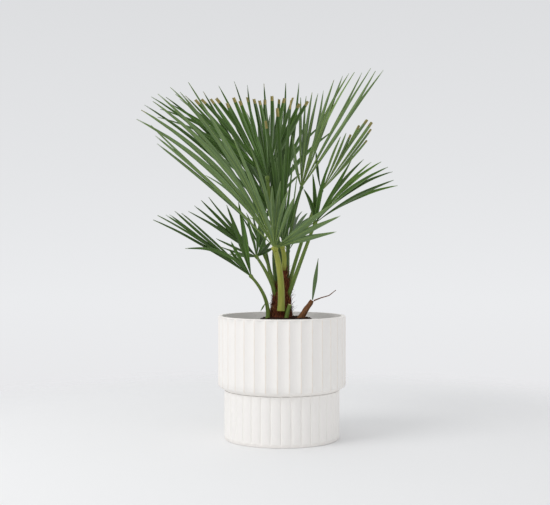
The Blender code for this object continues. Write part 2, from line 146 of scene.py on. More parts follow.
@dataclass(frozen=True)
class MattGlaze:
    """Slip-cast stoneware under a matt white glaze.

    To the eye it is a soft, even white with a broad dull sheen. The glaze thins on the arrises,
    where the clay warms it, and its surface is very slightly uneven.
    """
    glaze: str = "#F6F3EF"
    thin_glaze: str = "#EBDCCB"
    roughness: float = 0.48
    unevenness_mm: float = 14.0
    bump_mm: float = 0.15

    def material(self) -> bpy.types.Material:
        """The glaze, warmed by the piece's own `arris` attribute."""
        material, shader = start_material("matt_glazed_stoneware", Roughness=self.roughness)
        tree = material.node_tree
        place = add_node(tree, "ShaderNodeTexCoord")
        uneven = add_node(tree, "ShaderNodeTexNoise", {"Vector": place.outputs["Object"],
                                                       "Scale": per_mm(self.unevenness_mm), "Detail": 3.0})
        arris = add_node(tree, "ShaderNodeAttribute", attribute_name="arris")
        thin = add_node(tree, "ShaderNodeMath", {0: arris.outputs["Fac"], 1: uneven.outputs["Fac"]},
                        operation="MULTIPLY")
        colour = add_node(tree, "ShaderNodeMix", {"Factor": thin.outputs[0], 6: linear(self.glaze),
                                                  7: linear(self.thin_glaze)}, data_type="RGBA")
        bump = add_node(tree, "ShaderNodeBump", {"Height": uneven.outputs["Fac"], "Strength": 0.25,
                                                 "Distance": self.bump_mm * MM})
        tree.links.new(colour.outputs[2], shader.inputs["Base Color"])
        tree.links.new(bump.outputs["Normal"], shader.inputs["Normal"])
        return material


@dataclass(frozen=True)
class Mottled:
    """A rough natural stuff: two colours mixed by noise of a real grain, with a bump to match."""
    name: str
    dark: str
    light: str
    grain_mm: tuple[float, float, float]
    roughness: float = 0.9
    bump_mm: float = 0.4
    specular: float = 0.25

    def material(self) -> bpy.types.Material:
        """The material, on Object coordinates stretched by the grain along each axis."""
        material, shader = start_material(self.name, Roughness=self.roughness,
                                          Specular_IOR_Level=self.specular)
        tree = material.node_tree
        place = add_node(tree, "ShaderNodeTexCoord")
        grain = add_node(tree, "ShaderNodeMapping", {"Vector": place.outputs["Object"],
                                                     "Scale": [per_mm(g) for g in self.grain_mm]})
        speckle = add_node(tree, "ShaderNodeTexNoise", {"Vector": grain.outputs[0], "Scale": 1.0,
                                                        "Detail": 4.0, "Roughness": 0.65})
        spread = add_node(tree, "ShaderNodeMapRange", {"Value": speckle.outputs["Fac"], "From Min": 0.32,
                                                       "From Max": 0.68})
        colour = add_node(tree, "ShaderNodeMix", {"Factor": spread.outputs[0], 6: linear(self.dark),
                                                  7: linear(self.light)}, data_type="RGBA")
        bump = add_node(tree, "ShaderNodeBump", {"Height": speckle.outputs["Fac"], "Strength": 0.7,
                                                 "Distance": self.bump_mm * MM})
        tree.links.new(colour.outputs[2], shader.inputs["Base Color"])
        tree.links.new(bump.outputs["Normal"], shader.inputs["Normal"])
        return material


@dataclass(frozen=True)
class RibbedGreen:
    """Living palm tissue: a waxy skin over fine parallel veins.

    To the eye it is a green that streaks lengthwise, with a low broad sheen from its wax. The
    veins follow the piece's own UV map, which is in metres across and along it. Real veins are
    about 0.4 mm apart, and here they are drawn `vein_mm` apart so that they show.
    """
    name: str
    base: str
    streak: str
    roughness: float = 0.42
    vein_mm: float = 0.9
    streak_mm: float = 30.0
    specular: float = 0.4

    def material(self) -> bpy.types.Material:
        """The material, on the piece's UV map."""
        material, shader = start_material(self.name, Roughness=self.roughness,
                                          Specular_IOR_Level=self.specular)
        tree = material.node_tree
        place = add_node(tree, "ShaderNodeUVMap", uv_map="veins")
        fine = add_node(tree, "ShaderNodeMapping", {"Vector": place.outputs[0], "Scale": (
            per_mm(self.vein_mm), per_mm(self.streak_mm), 1.0)})
        veins = add_node(tree, "ShaderNodeTexNoise", {"Vector": fine.outputs[0], "Scale": 1.0, "Detail": 2.0})
        broad = add_node(tree, "ShaderNodeMapping", {"Vector": place.outputs[0], "Scale": (
            per_mm(self.vein_mm * 4), per_mm(self.streak_mm * 2), 1.0)})
        cloud = add_node(tree, "ShaderNodeTexNoise", {"Vector": broad.outputs[0], "Scale": 1.0})
        both = add_node(tree, "ShaderNodeMath", {0: veins.outputs["Fac"], 1: cloud.outputs["Fac"]},
                        operation="MULTIPLY")
        spread = add_node(tree, "ShaderNodeMapRange", {"Value": both.outputs[0], "From Min": 0.14,
                                                       "From Max": 0.38})
        colour = add_node(tree, "ShaderNodeMix", {"Factor": spread.outputs[0], 6: linear(self.base),
                                                  7: linear(self.streak)}, data_type="RGBA")
        bump = add_node(tree, "ShaderNodeBump", {"Height": veins.outputs["Fac"], "Strength": 0.35,
                                                 "Distance": 0.1 * MM})
        tree.links.new(colour.outputs[2], shader.inputs["Base Color"])
        tree.links.new(bump.outputs["Normal"], shader.inputs["Normal"])
        return material


GLAZE = MattGlaze()
# Bare fired clay under the foot: dry, faintly warm, without gloss.
UNGLAZED_CLAY = Mottled("unglazed_stoneware", "#D9CDBE", "#E6DCCF", (2, 2, 2), 0.85, 0.1)
# Peat mix, bark chips and crumbs, kept moist: dark browns that hardly shine.
POTTING_MIX = Mottled("moist_potting_mix", "#1C100B", "#3B2419", (3, 3, 3), 0.95, 1.0)
BARK_CHIP = Mottled("composted_bark_chip", "#2B1710", "#5A3524", (2, 2, 4), 0.9, 0.4)
PEAT_CRUMB = Mottled("peat_crumb", "#170D09", "#2E1B12", (2, 2, 2), 0.95, 0.4)
# Weathered sheath and its fibres: streaks along the trunk, near black over rust to straw.
SHEATH = Mottled("palm_sheath_fibre", "#2A130B", "#7A3F20", (1.2, 1.2, 9), 0.9, 0.8)
DARK_FIBRE = Mottled("old_palm_fibre", "#1E0E08", "#40210F", (1, 1, 6), 0.85, 0.2)
RED_FIBRE = Mottled("red_palm_fibre", "#5C2A14", "#93522A", (1, 1, 6), 0.8, 0.2)
STRAW_FIBRE = Mottled("young_palm_fibre", "#9A6A35", "#C79A5C", (1, 1, 6), 0.75, 0.2)
# Dead stalk, dry and streaked; cut pith, pale and dull; teeth of hard straw-coloured horn.
DRY_STALK = Mottled("dried_palm_stalk", "#4A2817", "#8F6440", (1, 1, 7), 0.85, 0.3)
PALE_PITH = Mottled("cut_stalk_pith", "#C9BE82", "#E2DBA6", (1, 1, 1), 0.8, 0.2)
TOOTH_HORN = Mottled("stalk_tooth_horn", "#8E7A3C", "#C4B670", (1, 1, 1), 0.5, 0.1)

# Upper sides are deep green with a wax sheen, and under sides paler and duller.
UPPER_LEAF = (RibbedGreen("palm_leaf_upper_deep", "#2C4512", "#47671F"),
              RibbedGreen("palm_leaf_upper_mid", "#37541A", "#567A2B"),
              RibbedGreen("palm_leaf_upper_fresh", "#456622", "#6C8F36"))
UNDER_LEAF = (RibbedGreen("palm_leaf_under_deep", "#4A6235", "#647D4B", 0.5),
              RibbedGreen("palm_leaf_under_mid", "#566F40", "#728B58", 0.5),
              RibbedGreen("palm_leaf_under_fresh", "#64803F", "#83A05C", 0.5))
MIDRIB = RibbedGreen("palm_leaf_midrib", "#6E8540", "#8FA45A", 0.5)
DRY_TIP = RibbedGreen("palm_leaf_dry_tip", "#7B7440", "#A89A60", 0.7)
STALK_YELLOW = RibbedGreen("palm_stalk_yellow_green", "#7E8A2C", "#A3A546", 0.4)
STALK_GREEN = RibbedGreen("palm_stalk_green", "#4F6A22", "#76893A", 0.4)
# A darker copy of the stalk green for the fronds behind and to the right: painted shade, where the crown
# shades their stalks.
STALK_PAINTED_SHADE = RibbedGreen("palm_stalk_shaded_green", "#3B5420", "#5A7132", 0.4)

# Places in a blade's list of materials: the upper tones, the under tones, then rib, dry tip and hub.
UNDER_PLACE = len(UPPER_LEAF)
RIB_PLACE = UNDER_PLACE + len(UNDER_LEAF)
DRY_PLACE = RIB_PLACE + 1
HUB_PLACE = RIB_PLACE + 2


def new_piece(name: str, mesh: bpy.types.Mesh, slot: Slot, *nodes: str) -> bpy.types.Object:
    """Put a finished mesh in the scene as a piece of the palm.

    Args:
        name: the piece's name.
        mesh: its mesh, already in place.
        slot: the record's material slot; not used.
        *nodes: the solids that it stands for.

    Returns:
        The piece, riding on the palm's body.
    """
    mesh.name = name
    piece = bpy.data.objects.new(name, mesh)
    bpy.context.scene.collection.objects.link(piece)
    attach(piece, BODY)
    if nodes:
        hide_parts(*nodes)
    log.info("%s: %d faces", name, len(mesh.polygons))
    return piece


def as_mesh(work: bmesh.types.BMesh, name: str) -> bpy.types.Mesh:
    """The mesh that a working bmesh holds; the bmesh is freed."""
    mesh = bpy.data.meshes.new(name)
    work.to_mesh(mesh)
    work.free()
    return mesh


def search_tree(mesh: bpy.types.Mesh) -> BVHTree:
    """A search tree of a mesh's faces."""
    return BVHTree.FromPolygons([v.co for v in mesh.vertices], [list(f.vertices) for f in mesh.polygons])


def plain_mesh(obj: bpy.types.Object) -> bpy.types.Mesh:
    """The mesh of a working object as its modifiers leave it; the object is removed."""
    depsgraph = bpy.context.evaluated_depsgraph_get()
    mesh = bpy.data.meshes.new_from_object(obj.evaluated_get(depsgraph), depsgraph=depsgraph)
    obj.modifiers.clear()
    bpy.data.objects.remove(obj, do_unlink=True)
    return mesh


def working_object(mesh: bpy.types.Mesh) -> bpy.types.Object:
    """An object that carries a mesh while modifiers work on it."""
    obj = bpy.data.objects.new("working", mesh)
    bpy.context.scene.collection.objects.link(obj)
    return obj


def shade(mesh: bpy.types.Mesh, angle: float = 35.0) -> bpy.types.Mesh:
    """Shade a mesh smooth, with edges past an angle in degrees left sharp."""
    mesh.shade_smooth()
    mesh.set_sharp_from_angle(angle=math.radians(angle))
    return mesh


def joined(meshes: Sequence[bpy.types.Mesh], materials: Sequence[bpy.types.Material]) -> bpy.types.Mesh:
    """One mesh out of several whose faces already name their place in one list of materials."""
    work = bmesh.new()
    for mesh in meshes:
        work.from_mesh(mesh)
    whole = bpy.data.meshes.new("joined")
    for material in materials:
        whole.materials.append(material)
    work.to_mesh(whole)
    work.free()
    return whole


def lofted(rings: Sequence[Sequence[Vector]], material: int = 0, along: float = 1.0) -> bpy.types.Mesh:
    """A closed mesh through rings of points, with both ends capped.

    Args:
        rings: rings with the same number of points, from the start to the end.
        material: the place of its material in the piece's list.
        along: metres of the UV map between two rings.

    Returns:
        The mesh, with a UV map `veins` in metres round and along it.
    """
    work = bmesh.new()
    veins = work.loops.layers.uv.new("veins")
    sides = len(rings[0])
    loops = [[work.verts.new(point) for point in ring] for ring in rings]
    girth = max((rings[len(rings) // 2][0] - rings[len(rings) // 2][sides // 2]).length * math.pi, MM)
    for j, (near, far) in enumerate(zip(loops, loops[1:])):
        for k in range(sides):
            after = (k + 1) % sides
            face = work.faces.new((near[k], near[after], far[after], far[k]))
            corners = ((k, j), (k + 1, j), (k + 1, j + 1), (k, j + 1))
            for loop, (u, v) in zip(face.loops, corners):
                loop[veins].uv = (u / sides * girth, v * along)
    work.faces.new(list(reversed(loops[0])))
    work.faces.new(loops[-1])
    for face in work.faces:
        face.material_index = material
    bmesh.ops.recalc_face_normals(work, faces=work.faces)
    return shade(as_mesh(work, "loft"))


def oval(middle: Vector, side: Vector, face: Vector, wide: float, deep: float, count: int) -> list[Vector]:
    """A ring of points round a place, `wide` out along side and `deep` out along face."""
    turns = [k / count * math.tau for k in range(count)]
    return [middle + side * (math.cos(a) * wide) + face * (math.sin(a) * deep) for a in turns]


def smooth_step(low: float, high: float, value: float) -> float:
    """A soft ramp from 0 at `low` to 1 at `high`."""
    share = min(max((value - low) / (high - low), 0.0), 1.0)
    return share * share * (3 - 2 * share)


def run_nodes(mesh: bpy.types.Mesh, tree: bpy.types.NodeTree, values: dict[str, Any]) -> bpy.types.Mesh:
    """Run a Geometry Nodes tree on a mesh and return the plain result.

    Args:
        mesh: what the tree starts from.
        tree: the tree, whose inputs have names.
        values: input name to value, set by the socket's identifier.

    Returns:
        The result as a mesh.
    """
    obj = working_object(mesh)
    modifier = obj.modifiers.new("grow", "NODES")
    modifier.node_group = tree
    for item in tree.interface.items_tree:
        if item.in_out == "INPUT" and item.name in values:
            modifier[item.identifier] = values[item.name]
    return plain_mesh(obj)


def start_tree(name: str, inputs: dict[str, tuple[str, Any]]) -> tuple[bpy.types.NodeTree, bpy.types.Node]:
    """A Geometry Nodes tree with a geometry input and output, and named inputs.

    Args:
        name: the tree's name.
        inputs: input name to its socket type and default value.

    Returns:
        The tree and its group input node.
    """
    tree = bpy.data.node_groups.new(name, "GeometryNodeTree")
    tree.interface.new_socket("Geometry", in_out="INPUT", socket_type="NodeSocketGeometry")
    tree.interface.new_socket("Geometry", in_out="OUTPUT", socket_type="NodeSocketGeometry")
    for label, (kind, value) in inputs.items():
        socket = tree.interface.new_socket(label, in_out="INPUT", socket_type=kind)
        if value is not None:
            socket.default_value = value
    return tree, add_node(tree, "NodeGroupInput")


def finish_tree(tree: bpy.types.NodeTree, geometry: bpy.types.NodeSocket,
                material: bpy.types.NodeSocket) -> None:
    """End a tree in Realize Instances and Set Material."""
    real = add_node(tree, "GeometryNodeRealizeInstances", {0: geometry})
    dressed = add_node(tree, "GeometryNodeSetMaterial", {"Geometry": real.outputs[0], "Material": material})
    add_node(tree, "NodeGroupOutput", {0: dressed.outputs[0]})


def scatter_tree() -> bpy.types.NodeTree:
    """Copies of a small shape on a surface, aimed between its normal, upright and at random."""
    tree, given = start_tree("scatter_on_surface", {
        "Shape": ("NodeSocketObject", None), "Material": ("NodeSocketMaterial", None),
        "Per Square Metre": ("NodeSocketFloat", 1000.0), "Least Size": ("NodeSocketFloat", 0.6),
        "Most Size": ("NodeSocketFloat", 1.0), "Outward": ("NodeSocketFloat", 1.0),
        "Upward": ("NodeSocketFloat", 0.0), "Stray": ("NodeSocketFloat", 0.3),
        "Seed": ("NodeSocketInt", 1)})
    socket = given.outputs
    points = add_node(tree, "GeometryNodeDistributePointsOnFaces", {
        "Mesh": socket["Geometry"], "Density": socket["Per Square Metre"], "Seed": socket["Seed"]},
        distribute_method="RANDOM")
    outward = add_node(tree, "ShaderNodeVectorMath", {0: points.outputs["Normal"],
                                                      "Scale": socket["Outward"]}, operation="SCALE")
    upward = add_node(tree, "ShaderNodeVectorMath", {0: UP, "Scale": socket["Upward"]}, operation="SCALE")
    chance = add_node(tree, "FunctionNodeRandomValue", {0: (-1, -1, -1), 1: (1, 1, 1),
                                                        "Seed": socket["Seed"]}, data_type="FLOAT_VECTOR")
    stray = add_node(tree, "ShaderNodeVectorMath", {0: chance.outputs[0], "Scale": socket["Stray"]},
                     operation="SCALE")
    aim = add_node(tree, "ShaderNodeVectorMath", {0: outward.outputs[0], 1: upward.outputs[0]},
                   operation="ADD")
    aim = add_node(tree, "ShaderNodeVectorMath", {0: aim.outputs[0], 1: stray.outputs[0]}, operation="ADD")
    turn = add_node(tree, "FunctionNodeAlignRotationToVector", {"Vector": aim.outputs[0]}, axis="Z")
    spin = add_node(tree, "FunctionNodeRandomValue", {2: 0.0, 3: math.tau, "Seed": socket["Seed"]},
                    data_type="FLOAT")
    roll = add_node(tree, "FunctionNodeAxisAngleToRotation", {"Axis": UP, "Angle": spin.outputs[1]})
    turned = add_node(tree, "FunctionNodeRotateRotation", {0: turn.outputs[0], 1: roll.outputs[0]},
                      rotation_space="LOCAL")
    size = add_node(tree, "FunctionNodeRandomValue", {2: socket["Least Size"], 3: socket["Most Size"],
                                                      "Seed": socket["Seed"]}, data_type="FLOAT")
    shape = add_node(tree, "GeometryNodeObjectInfo", {"Object": socket["Shape"]})
    copies = add_node(tree, "GeometryNodeInstanceOnPoints", {
        "Points": points.outputs["Points"], "Instance": shape.outputs["Geometry"],
        "Rotation": turned.outputs[0], "Scale": size.outputs[1]})
    finish_tree(tree, copies.outputs[0], socket["Material"])
    return tree


def row_tree() -> bpy.types.NodeTree:
    """Copies of a small shape on the points of a mesh, along their `aim` and as large as `size`."""
    tree, given = start_tree("row_on_points", {"Shape": ("NodeSocketObject", None),
                                               "Material": ("NodeSocketMaterial", None),
                                               "Size": ("NodeSocketFloat", 1.0)})
    socket = given.outputs
    aim = add_node(tree, "GeometryNodeInputNamedAttribute", {"Name": "aim"}, data_type="FLOAT_VECTOR")
    turn = add_node(tree, "FunctionNodeAlignRotationToVector", {"Vector": aim.outputs[0]}, axis="Z")
    size = add_node(tree, "GeometryNodeInputNamedAttribute", {"Name": "size"}, data_type="FLOAT")
    scale = add_node(tree, "ShaderNodeMath", {0: size.outputs[0], 1: socket["Size"]}, operation="MULTIPLY")
    shape = add_node(tree, "GeometryNodeObjectInfo", {"Object": socket["Shape"]})
    copies = add_node(tree, "GeometryNodeInstanceOnPoints", {
        "Points": socket["Geometry"], "Instance": shape.outputs["Geometry"],
        "Rotation": turn.outputs[0], "Scale": scale.outputs[0]})
    finish_tree(tree, copies.outputs[0], socket["Material"])
    return tree


REED_ROUNDNESS = 0.5


def rib_tree() -> bpy.types.NodeTree:
    """Flutes and reeds cut into a plain turned wall.

    The wall's points carry `phase`, the place across a rib from 0 to 1, and `flute` and `reed`,
    how much of each cut they take.
    """
    tree, given = start_tree("cut_ribs", {"Material": ("NodeSocketMaterial", None),
                                          "Flute Depth": ("NodeSocketFloat", 0.003),
                                          "Reed Depth": ("NodeSocketFloat", 0.0024)})
    socket = given.outputs
    phase, flute, reed = (add_node(tree, "GeometryNodeInputNamedAttribute", {"Name": name},
                                   data_type="FLOAT").outputs[0] for name in ("phase", "flute", "reed"))

    def maths(operation: str, first: Any, second: Any = 0.0) -> bpy.types.NodeSocket:
        """The output of one sum."""
        return add_node(tree, "ShaderNodeMath", {0: first, 1: second}, operation=operation).outputs[0]

    arch = maths("SINE", maths("MULTIPLY", phase, math.pi))
    hollow = maths("MULTIPLY", maths("MULTIPLY", arch, flute), socket["Flute Depth"])
    groove = maths("SUBTRACT", 1.0, maths("POWER", maths("MAXIMUM", arch, 0.0), REED_ROUNDNESS))
    cut = maths("ADD", hollow, maths("MULTIPLY", maths("MULTIPLY", groove, reed), socket["Reed Depth"]))
    here = add_node(tree, "GeometryNodeInputPosition")
    level = add_node(tree, "ShaderNodeVectorMath", {0: here.outputs[0], 1: (1, 1, 0)}, operation="MULTIPLY")
    outward = add_node(tree, "ShaderNodeVectorMath", {0: level.outputs[0]}, operation="NORMALIZE")
    inward = add_node(tree, "ShaderNodeVectorMath", {0: outward.outputs[0], "Scale": maths(
        "MULTIPLY", cut, -1.0)}, operation="SCALE")
    moved = add_node(tree, "GeometryNodeSetPosition", {"Geometry": socket["Geometry"],
                                                       "Offset": inward.outputs[0]})
    finish_tree(tree, moved.outputs[0], socket["Material"])
    return tree


@dataclass
class FlutedPot:
    """The pot: a fluted upper tier on a reeded lower one, hollow to its floor. Sizes in mm."""
    rim_radius: float = 130.0
    rim_height: float = 249.5
    rim_ring: float = 2.0
    rim_inset: float = 0.8
    tier_foot: float = 108.0
    flutes: int = 35
    flute_depth: float = 3.0
    first_flute: float = -4.2
    step_radius: float = 117.5
    step_height: float = 97.5
    reeds: int = 36
    reed_depth: float = 2.4
    first_reed: float = -1.4
    foot_band: float = 5.0
    foot_inset: float = 0.8
    wall: float = 8.0
    wall_slope: float = 8.0
    lower_wall: float = 10.0
    floor: float = 10.0
    softness: float = 0.7
    phases: tuple[float, ...] = (0.0, 0.03, 0.09, 0.18, 0.29, 0.42, 0.58, 0.71, 0.82, 0.91, 0.97)

    def columns(self, count: int, first: float) -> list[tuple[float, float, float]]:
        """Where the columns of a tier stand.

        Args:
            count: how many flutes or reeds go round it.
            first: degrees from the front, to the right, of the first sharp edge.

        Returns:
            The x and y of each column's direction, and its phase across its rib.
        """
        found = []
        for i in range(count):
            for phase in self.phases:
                angle = math.radians(first) + (i + phase) / count * math.tau
                found.append((math.sin(angle), -math.cos(angle), phase))
        return found

    def upper_profile(self) -> Iterator[tuple[float, float, float, float]]:
        """Radius, height, flute share and arris share of each ring, from the step over the rim."""
        top, soft = self.rim_height, self.softness
        ring = self.rim_radius - self.rim_inset
        inner = self.rim_radius - self.wall
        start = self.step_radius - self.flute_depth
        yield start, self.step_height + 1.0, 0.0, 0.0
        yield (start + self.rim_radius) / 2, (self.step_height + self.tier_foot) / 2, 0.35, 0.3
        yield self.rim_radius - soft * 1.6, self.tier_foot - soft, 0.9, 0.8
        yield self.rim_radius, self.tier_foot + soft, 1.0, 1.0
        for share in (0.1, 0.3, 0.5, 0.7, 0.9):
            yield self.rim_radius, self.tier_foot + (top - self.tier_foot) * share, 1.0, 1.0
        yield self.rim_radius, top - self.rim_ring - 1.6, 1.0, 1.0
        yield self.rim_radius - 0.2, top - self.rim_ring - 0.8, 0.75, 0.8
        yield ring, top - self.rim_ring, 0.0, 0.4
        yield ring, top - soft, 0.0, 0.3
        yield ring - soft * 0.3, top - soft * 0.3, 0.0, 0.6
        yield ring - soft, top, 0.0, 0.3
        yield inner + soft, top, 0.0, 0.3
        yield inner + soft * 0.3, top - soft * 0.3, 0.0, 0.6
        yield inner, top - soft, 0.0, 0.2
        yield inner, self.tier_foot + self.wall_slope, 0.0, 0.0
        yield self.step_radius - self.lower_wall, self.step_height, 0.0, 0.0
        yield self.step_radius - self.lower_wall, self.floor, 0.0, 0.0

    def lower_profile(self) -> Iterator[tuple[float, float, float, float]]:
        """Radius, height, reed share and arris share of each ring, from the step down to the foot."""
        radius, band = self.step_radius, self.foot_band
        plain = radius - self.foot_inset
        yield radius, self.step_height + 1.0, 1.0, 0.0
        yield radius, self.step_height * 0.75, 1.0, 0.0
        yield radius, self.step_height * 0.5, 1.0, 0.0
        yield radius, self.step_height * 0.25, 1.0, 0.0
        yield radius, band + 2.5, 1.0, 0.0
        yield radius, band + 1.2, 0.8, 0.2
        yield plain + 0.3, band + 0.4, 0.15, 0.5
        yield plain, band, 0.0, 0.3
        yield plain, 1.8, 0.0, 0.2
        yield plain - self.softness * 0.6, 0.6, 0.0, 0.4
        yield radius - self.reed_depth, 0.0, 0.0, 0.2

    def wall_mesh(self) -> bpy.types.Mesh:
        """The closed wall, still plain, with the attributes that its ribs and glaze follow."""
        work = bmesh.new()
        names = ("phase", "flute", "reed", "arris")
        layers = {name: work.verts.layers.float.new(name) for name in names}

        def ring(columns: list, radius: float, height: float, kind: str, share: float, warm: float) -> list:
            """One ring of vertices."""
            verts = []
            for x, y, phase in columns:
                vert = work.verts.new((x * radius * MM, y * radius * MM, height * MM))
                edge = max(0.0, 1.0 - min(phase, 1.0 - phase) / 0.08)
                vert[layers["phase"]] = phase
                vert[layers[kind]] = share
                vert[layers["arris"]] = warm * (edge if kind == "flute" and share > 0.5 else 0.4)
                verts.append(vert)
            return verts

        upper = self.columns(self.flutes, self.first_flute)
        lower = self.columns(self.reeds, self.first_reed)
        walls = ([ring(upper, r, z, "flute", share, warm) for r, z, share, warm in self.upper_profile()],
                 [ring(lower, r, z, "reed", share, warm) for r, z, share, warm in self.lower_profile()])
        for rings in walls:
            for near, far in zip(rings, rings[1:]):
                for k, vert in enumerate(near):
                    after = (k + 1) % len(near)
                    work.faces.new((vert, near[after], far[after], far[k]))
            work.faces.new(rings[-1])
        self.bridge(work, walls[0][0], walls[1][0])
        bmesh.ops.recalc_face_normals(work, faces=work.faces)
        return as_mesh(work, "pot_wall")

    @staticmethod
    def bridge(work: bmesh.types.BMesh, first: list, second: list) -> None:
        """Join two rings with unlike numbers of points by triangles, in the order of their angles."""
        def bearing(vert: bmesh.types.BMVert) -> float:
            """The vertex's angle round the pot, from 0 to a full turn."""
            return math.atan2(vert.co.y, vert.co.x) % math.tau

        rings = []
        for ring in (first, second):
            start = min(range(len(ring)), key=lambda k: bearing(ring[k]))
            turned = ring[start:] + ring[:start]
            rings.append((turned + turned[:1], [bearing(v) for v in turned] + [math.tau]))
        (a, a_at), (b, b_at) = rings
        i = j = 0
        while i < len(first) or j < len(second):
            step_a = j >= len(second) or (i < len(first) and a_at[i + 1] <= b_at[j + 1])
            if step_a:
                work.faces.new((a[i], a[i + 1], b[j]))
                i += 1
            else:
                work.faces.new((a[i], b[j + 1], b[j]))
                j += 1

    def build(self) -> None:
        """Make the pot and put it in the place of its solid."""
        glaze = GLAZE.material()
        mesh = run_nodes(self.wall_mesh(), rib_tree(), {
            "Material": glaze, "Flute Depth": self.flute_depth * MM, "Reed Depth": self.reed_depth * MM})
        mesh.materials.append(UNGLAZED_CLAY.material())
        for face in mesh.polygons:
            if face.normal.z < -0.9 and face.center.z < MM:
                face.material_index = 1
        new_piece("fluted_pot", shade(mesh, 50.0), Slot.POT, "pot")


@dataclass
class SoilBed:
    """The soil: a lumpy bed with a mound round the trunk, strewn with chips. Sizes in mm."""
    level: float = 230.0
    mound_top: float = 246.5
    mound_centre: tuple[float, float] = (8.0, -2.0)
    mound_radius: float = 44.0
    mound_foot: float = 84.0
    wall_radius: float = 121.4
    wall_slope_top: float = 116.6
    lower_radius: float = 106.9
    lower_top: float = 98.1
    bottom: float = 10.3
    rings: int = 40
    columns: int = 120
    lump: float = 2.2
    lump_reach: tuple[float, float] = (16.0, 6.0)
    chip_margin: float = 6.0
    chip_depth: float = 12.0
    seed: int = 11

    def height(self, x: float, y: float) -> float:
        """The bed's height at a place, in mm."""
        away = math.hypot(x - self.mound_centre[0], y - self.mound_centre[1])
        rise = 1.0 - smooth_step(self.mound_radius * 0.8, self.mound_foot, away)
        broad, fine = self.lump_reach
        lumps = noise.noise(Vector((x, y, 0.0)) / broad) + 0.5 * noise.noise(Vector((x, y, 40.0)) / fine)
        flat = self.level + (self.mound_top - self.level) * rise
        return flat + self.lump * lumps * (1.0 - 0.6 * smooth_step(0.9, 1.0, rise)) - 0.8 * rise

    def bed_mesh(self) -> bpy.types.Mesh:
        """The bed as one closed body."""
        work = bmesh.new()
        centre = work.verts.new((0.0, 0.0, self.height(0.0, 0.0) * MM))
        rings = []
        for j in range(1, self.rings + 1):
            radius = self.wall_radius * (j / self.rings)
            ring = []
            for k in range(self.columns):
                angle = k / self.columns * math.tau
                x, y = radius * math.cos(angle), radius * math.sin(angle)
                ring.append(work.verts.new((x * MM, y * MM, self.height(x, y) * MM)))
            rings.append(ring)
        for radius, z in ((self.wall_radius, self.wall_slope_top), (self.lower_radius, self.lower_top),
                          (self.lower_radius, self.bottom)):
            turns = [k / self.columns * math.tau for k in range(self.columns)]
            rings.append([work.verts.new((radius * math.cos(a) * MM, radius * math.sin(a) * MM, z * MM))
                          for a in turns])
        for k in range(self.columns):
            work.faces.new((centre, rings[0][k], rings[0][(k + 1) % self.columns]))
        for near, far in zip(rings, rings[1:]):
            for k in range(self.columns):
                after = (k + 1) % self.columns
                work.faces.new((near[k], far[k], far[after], near[after]))
        work.faces.new(list(reversed(rings[-1])))
        bmesh.ops.recalc_face_normals(work, faces=work.faces)
        return as_mesh(work, "bed")

    def top_mesh(self) -> bpy.types.Mesh:
        """Only the part of the bed's top that chips lie on."""
        mesh = self.bed_mesh()
        work = bmesh.new()
        work.from_mesh(mesh)
        edge = (self.wall_radius - self.chip_margin) * MM
        low = (self.level - self.chip_depth) * MM
        gone = [v for v in work.verts if v.co.z < low or math.hypot(v.co.x, v.co.y) > edge]
        bmesh.ops.delete(work, geom=gone, context="VERTS")
        work.to_mesh(mesh)
        work.free()
        return mesh

    @staticmethod
    def chip(name: str, size: tuple[float, float, float], seed: int) -> bpy.types.Object:
        """A chip or crumb: a ball of 20 faces, stretched to its size and knocked out of true."""
        draw = random.Random(seed)
        work = bmesh.new()
        bmesh.ops.create_icosphere(work, subdivisions=1, radius=0.5)
        for vert in work.verts:
            vert.co = Vector([c * s * MM * draw.uniform(0.7, 1.15) for c, s in zip(vert.co, size)])
        return working_object(as_mesh(work, name))

    def build(self) -> None:
        """Make the bed and strew it."""
        bed = shade(self.bed_mesh())
        bed.materials.append(POTTING_MIX.material())
        new_piece("soil_bed", bed, Slot.SOIL, "soil")
        tree = scatter_tree()
        kinds = (("bark_chips", (9.0, 3.6, 1.6), BARK_CHIP, 26000, 0.4, 1.0, 1.6),
                 ("peat_crumbs", (3.4, 2.8, 2.4), PEAT_CRUMB, 110000, 0.5, 1.2, 1.5))
        for index, (name, size, finish, density, least, most, stray) in enumerate(kinds):
            shape = self.chip(name, size, self.seed + index)
            mesh = run_nodes(self.top_mesh(), tree, {
                "Shape": shape, "Material": finish.material(), "Per Square Metre": float(density),
                "Least Size": least, "Most Size": most, "Outward": 1.0, "Upward": 0.0, "Stray": stray,
                "Seed": self.seed + index})
            bpy.data.objects.remove(shape, do_unlink=True)
            new_piece(name, mesh, Slot.SOIL)


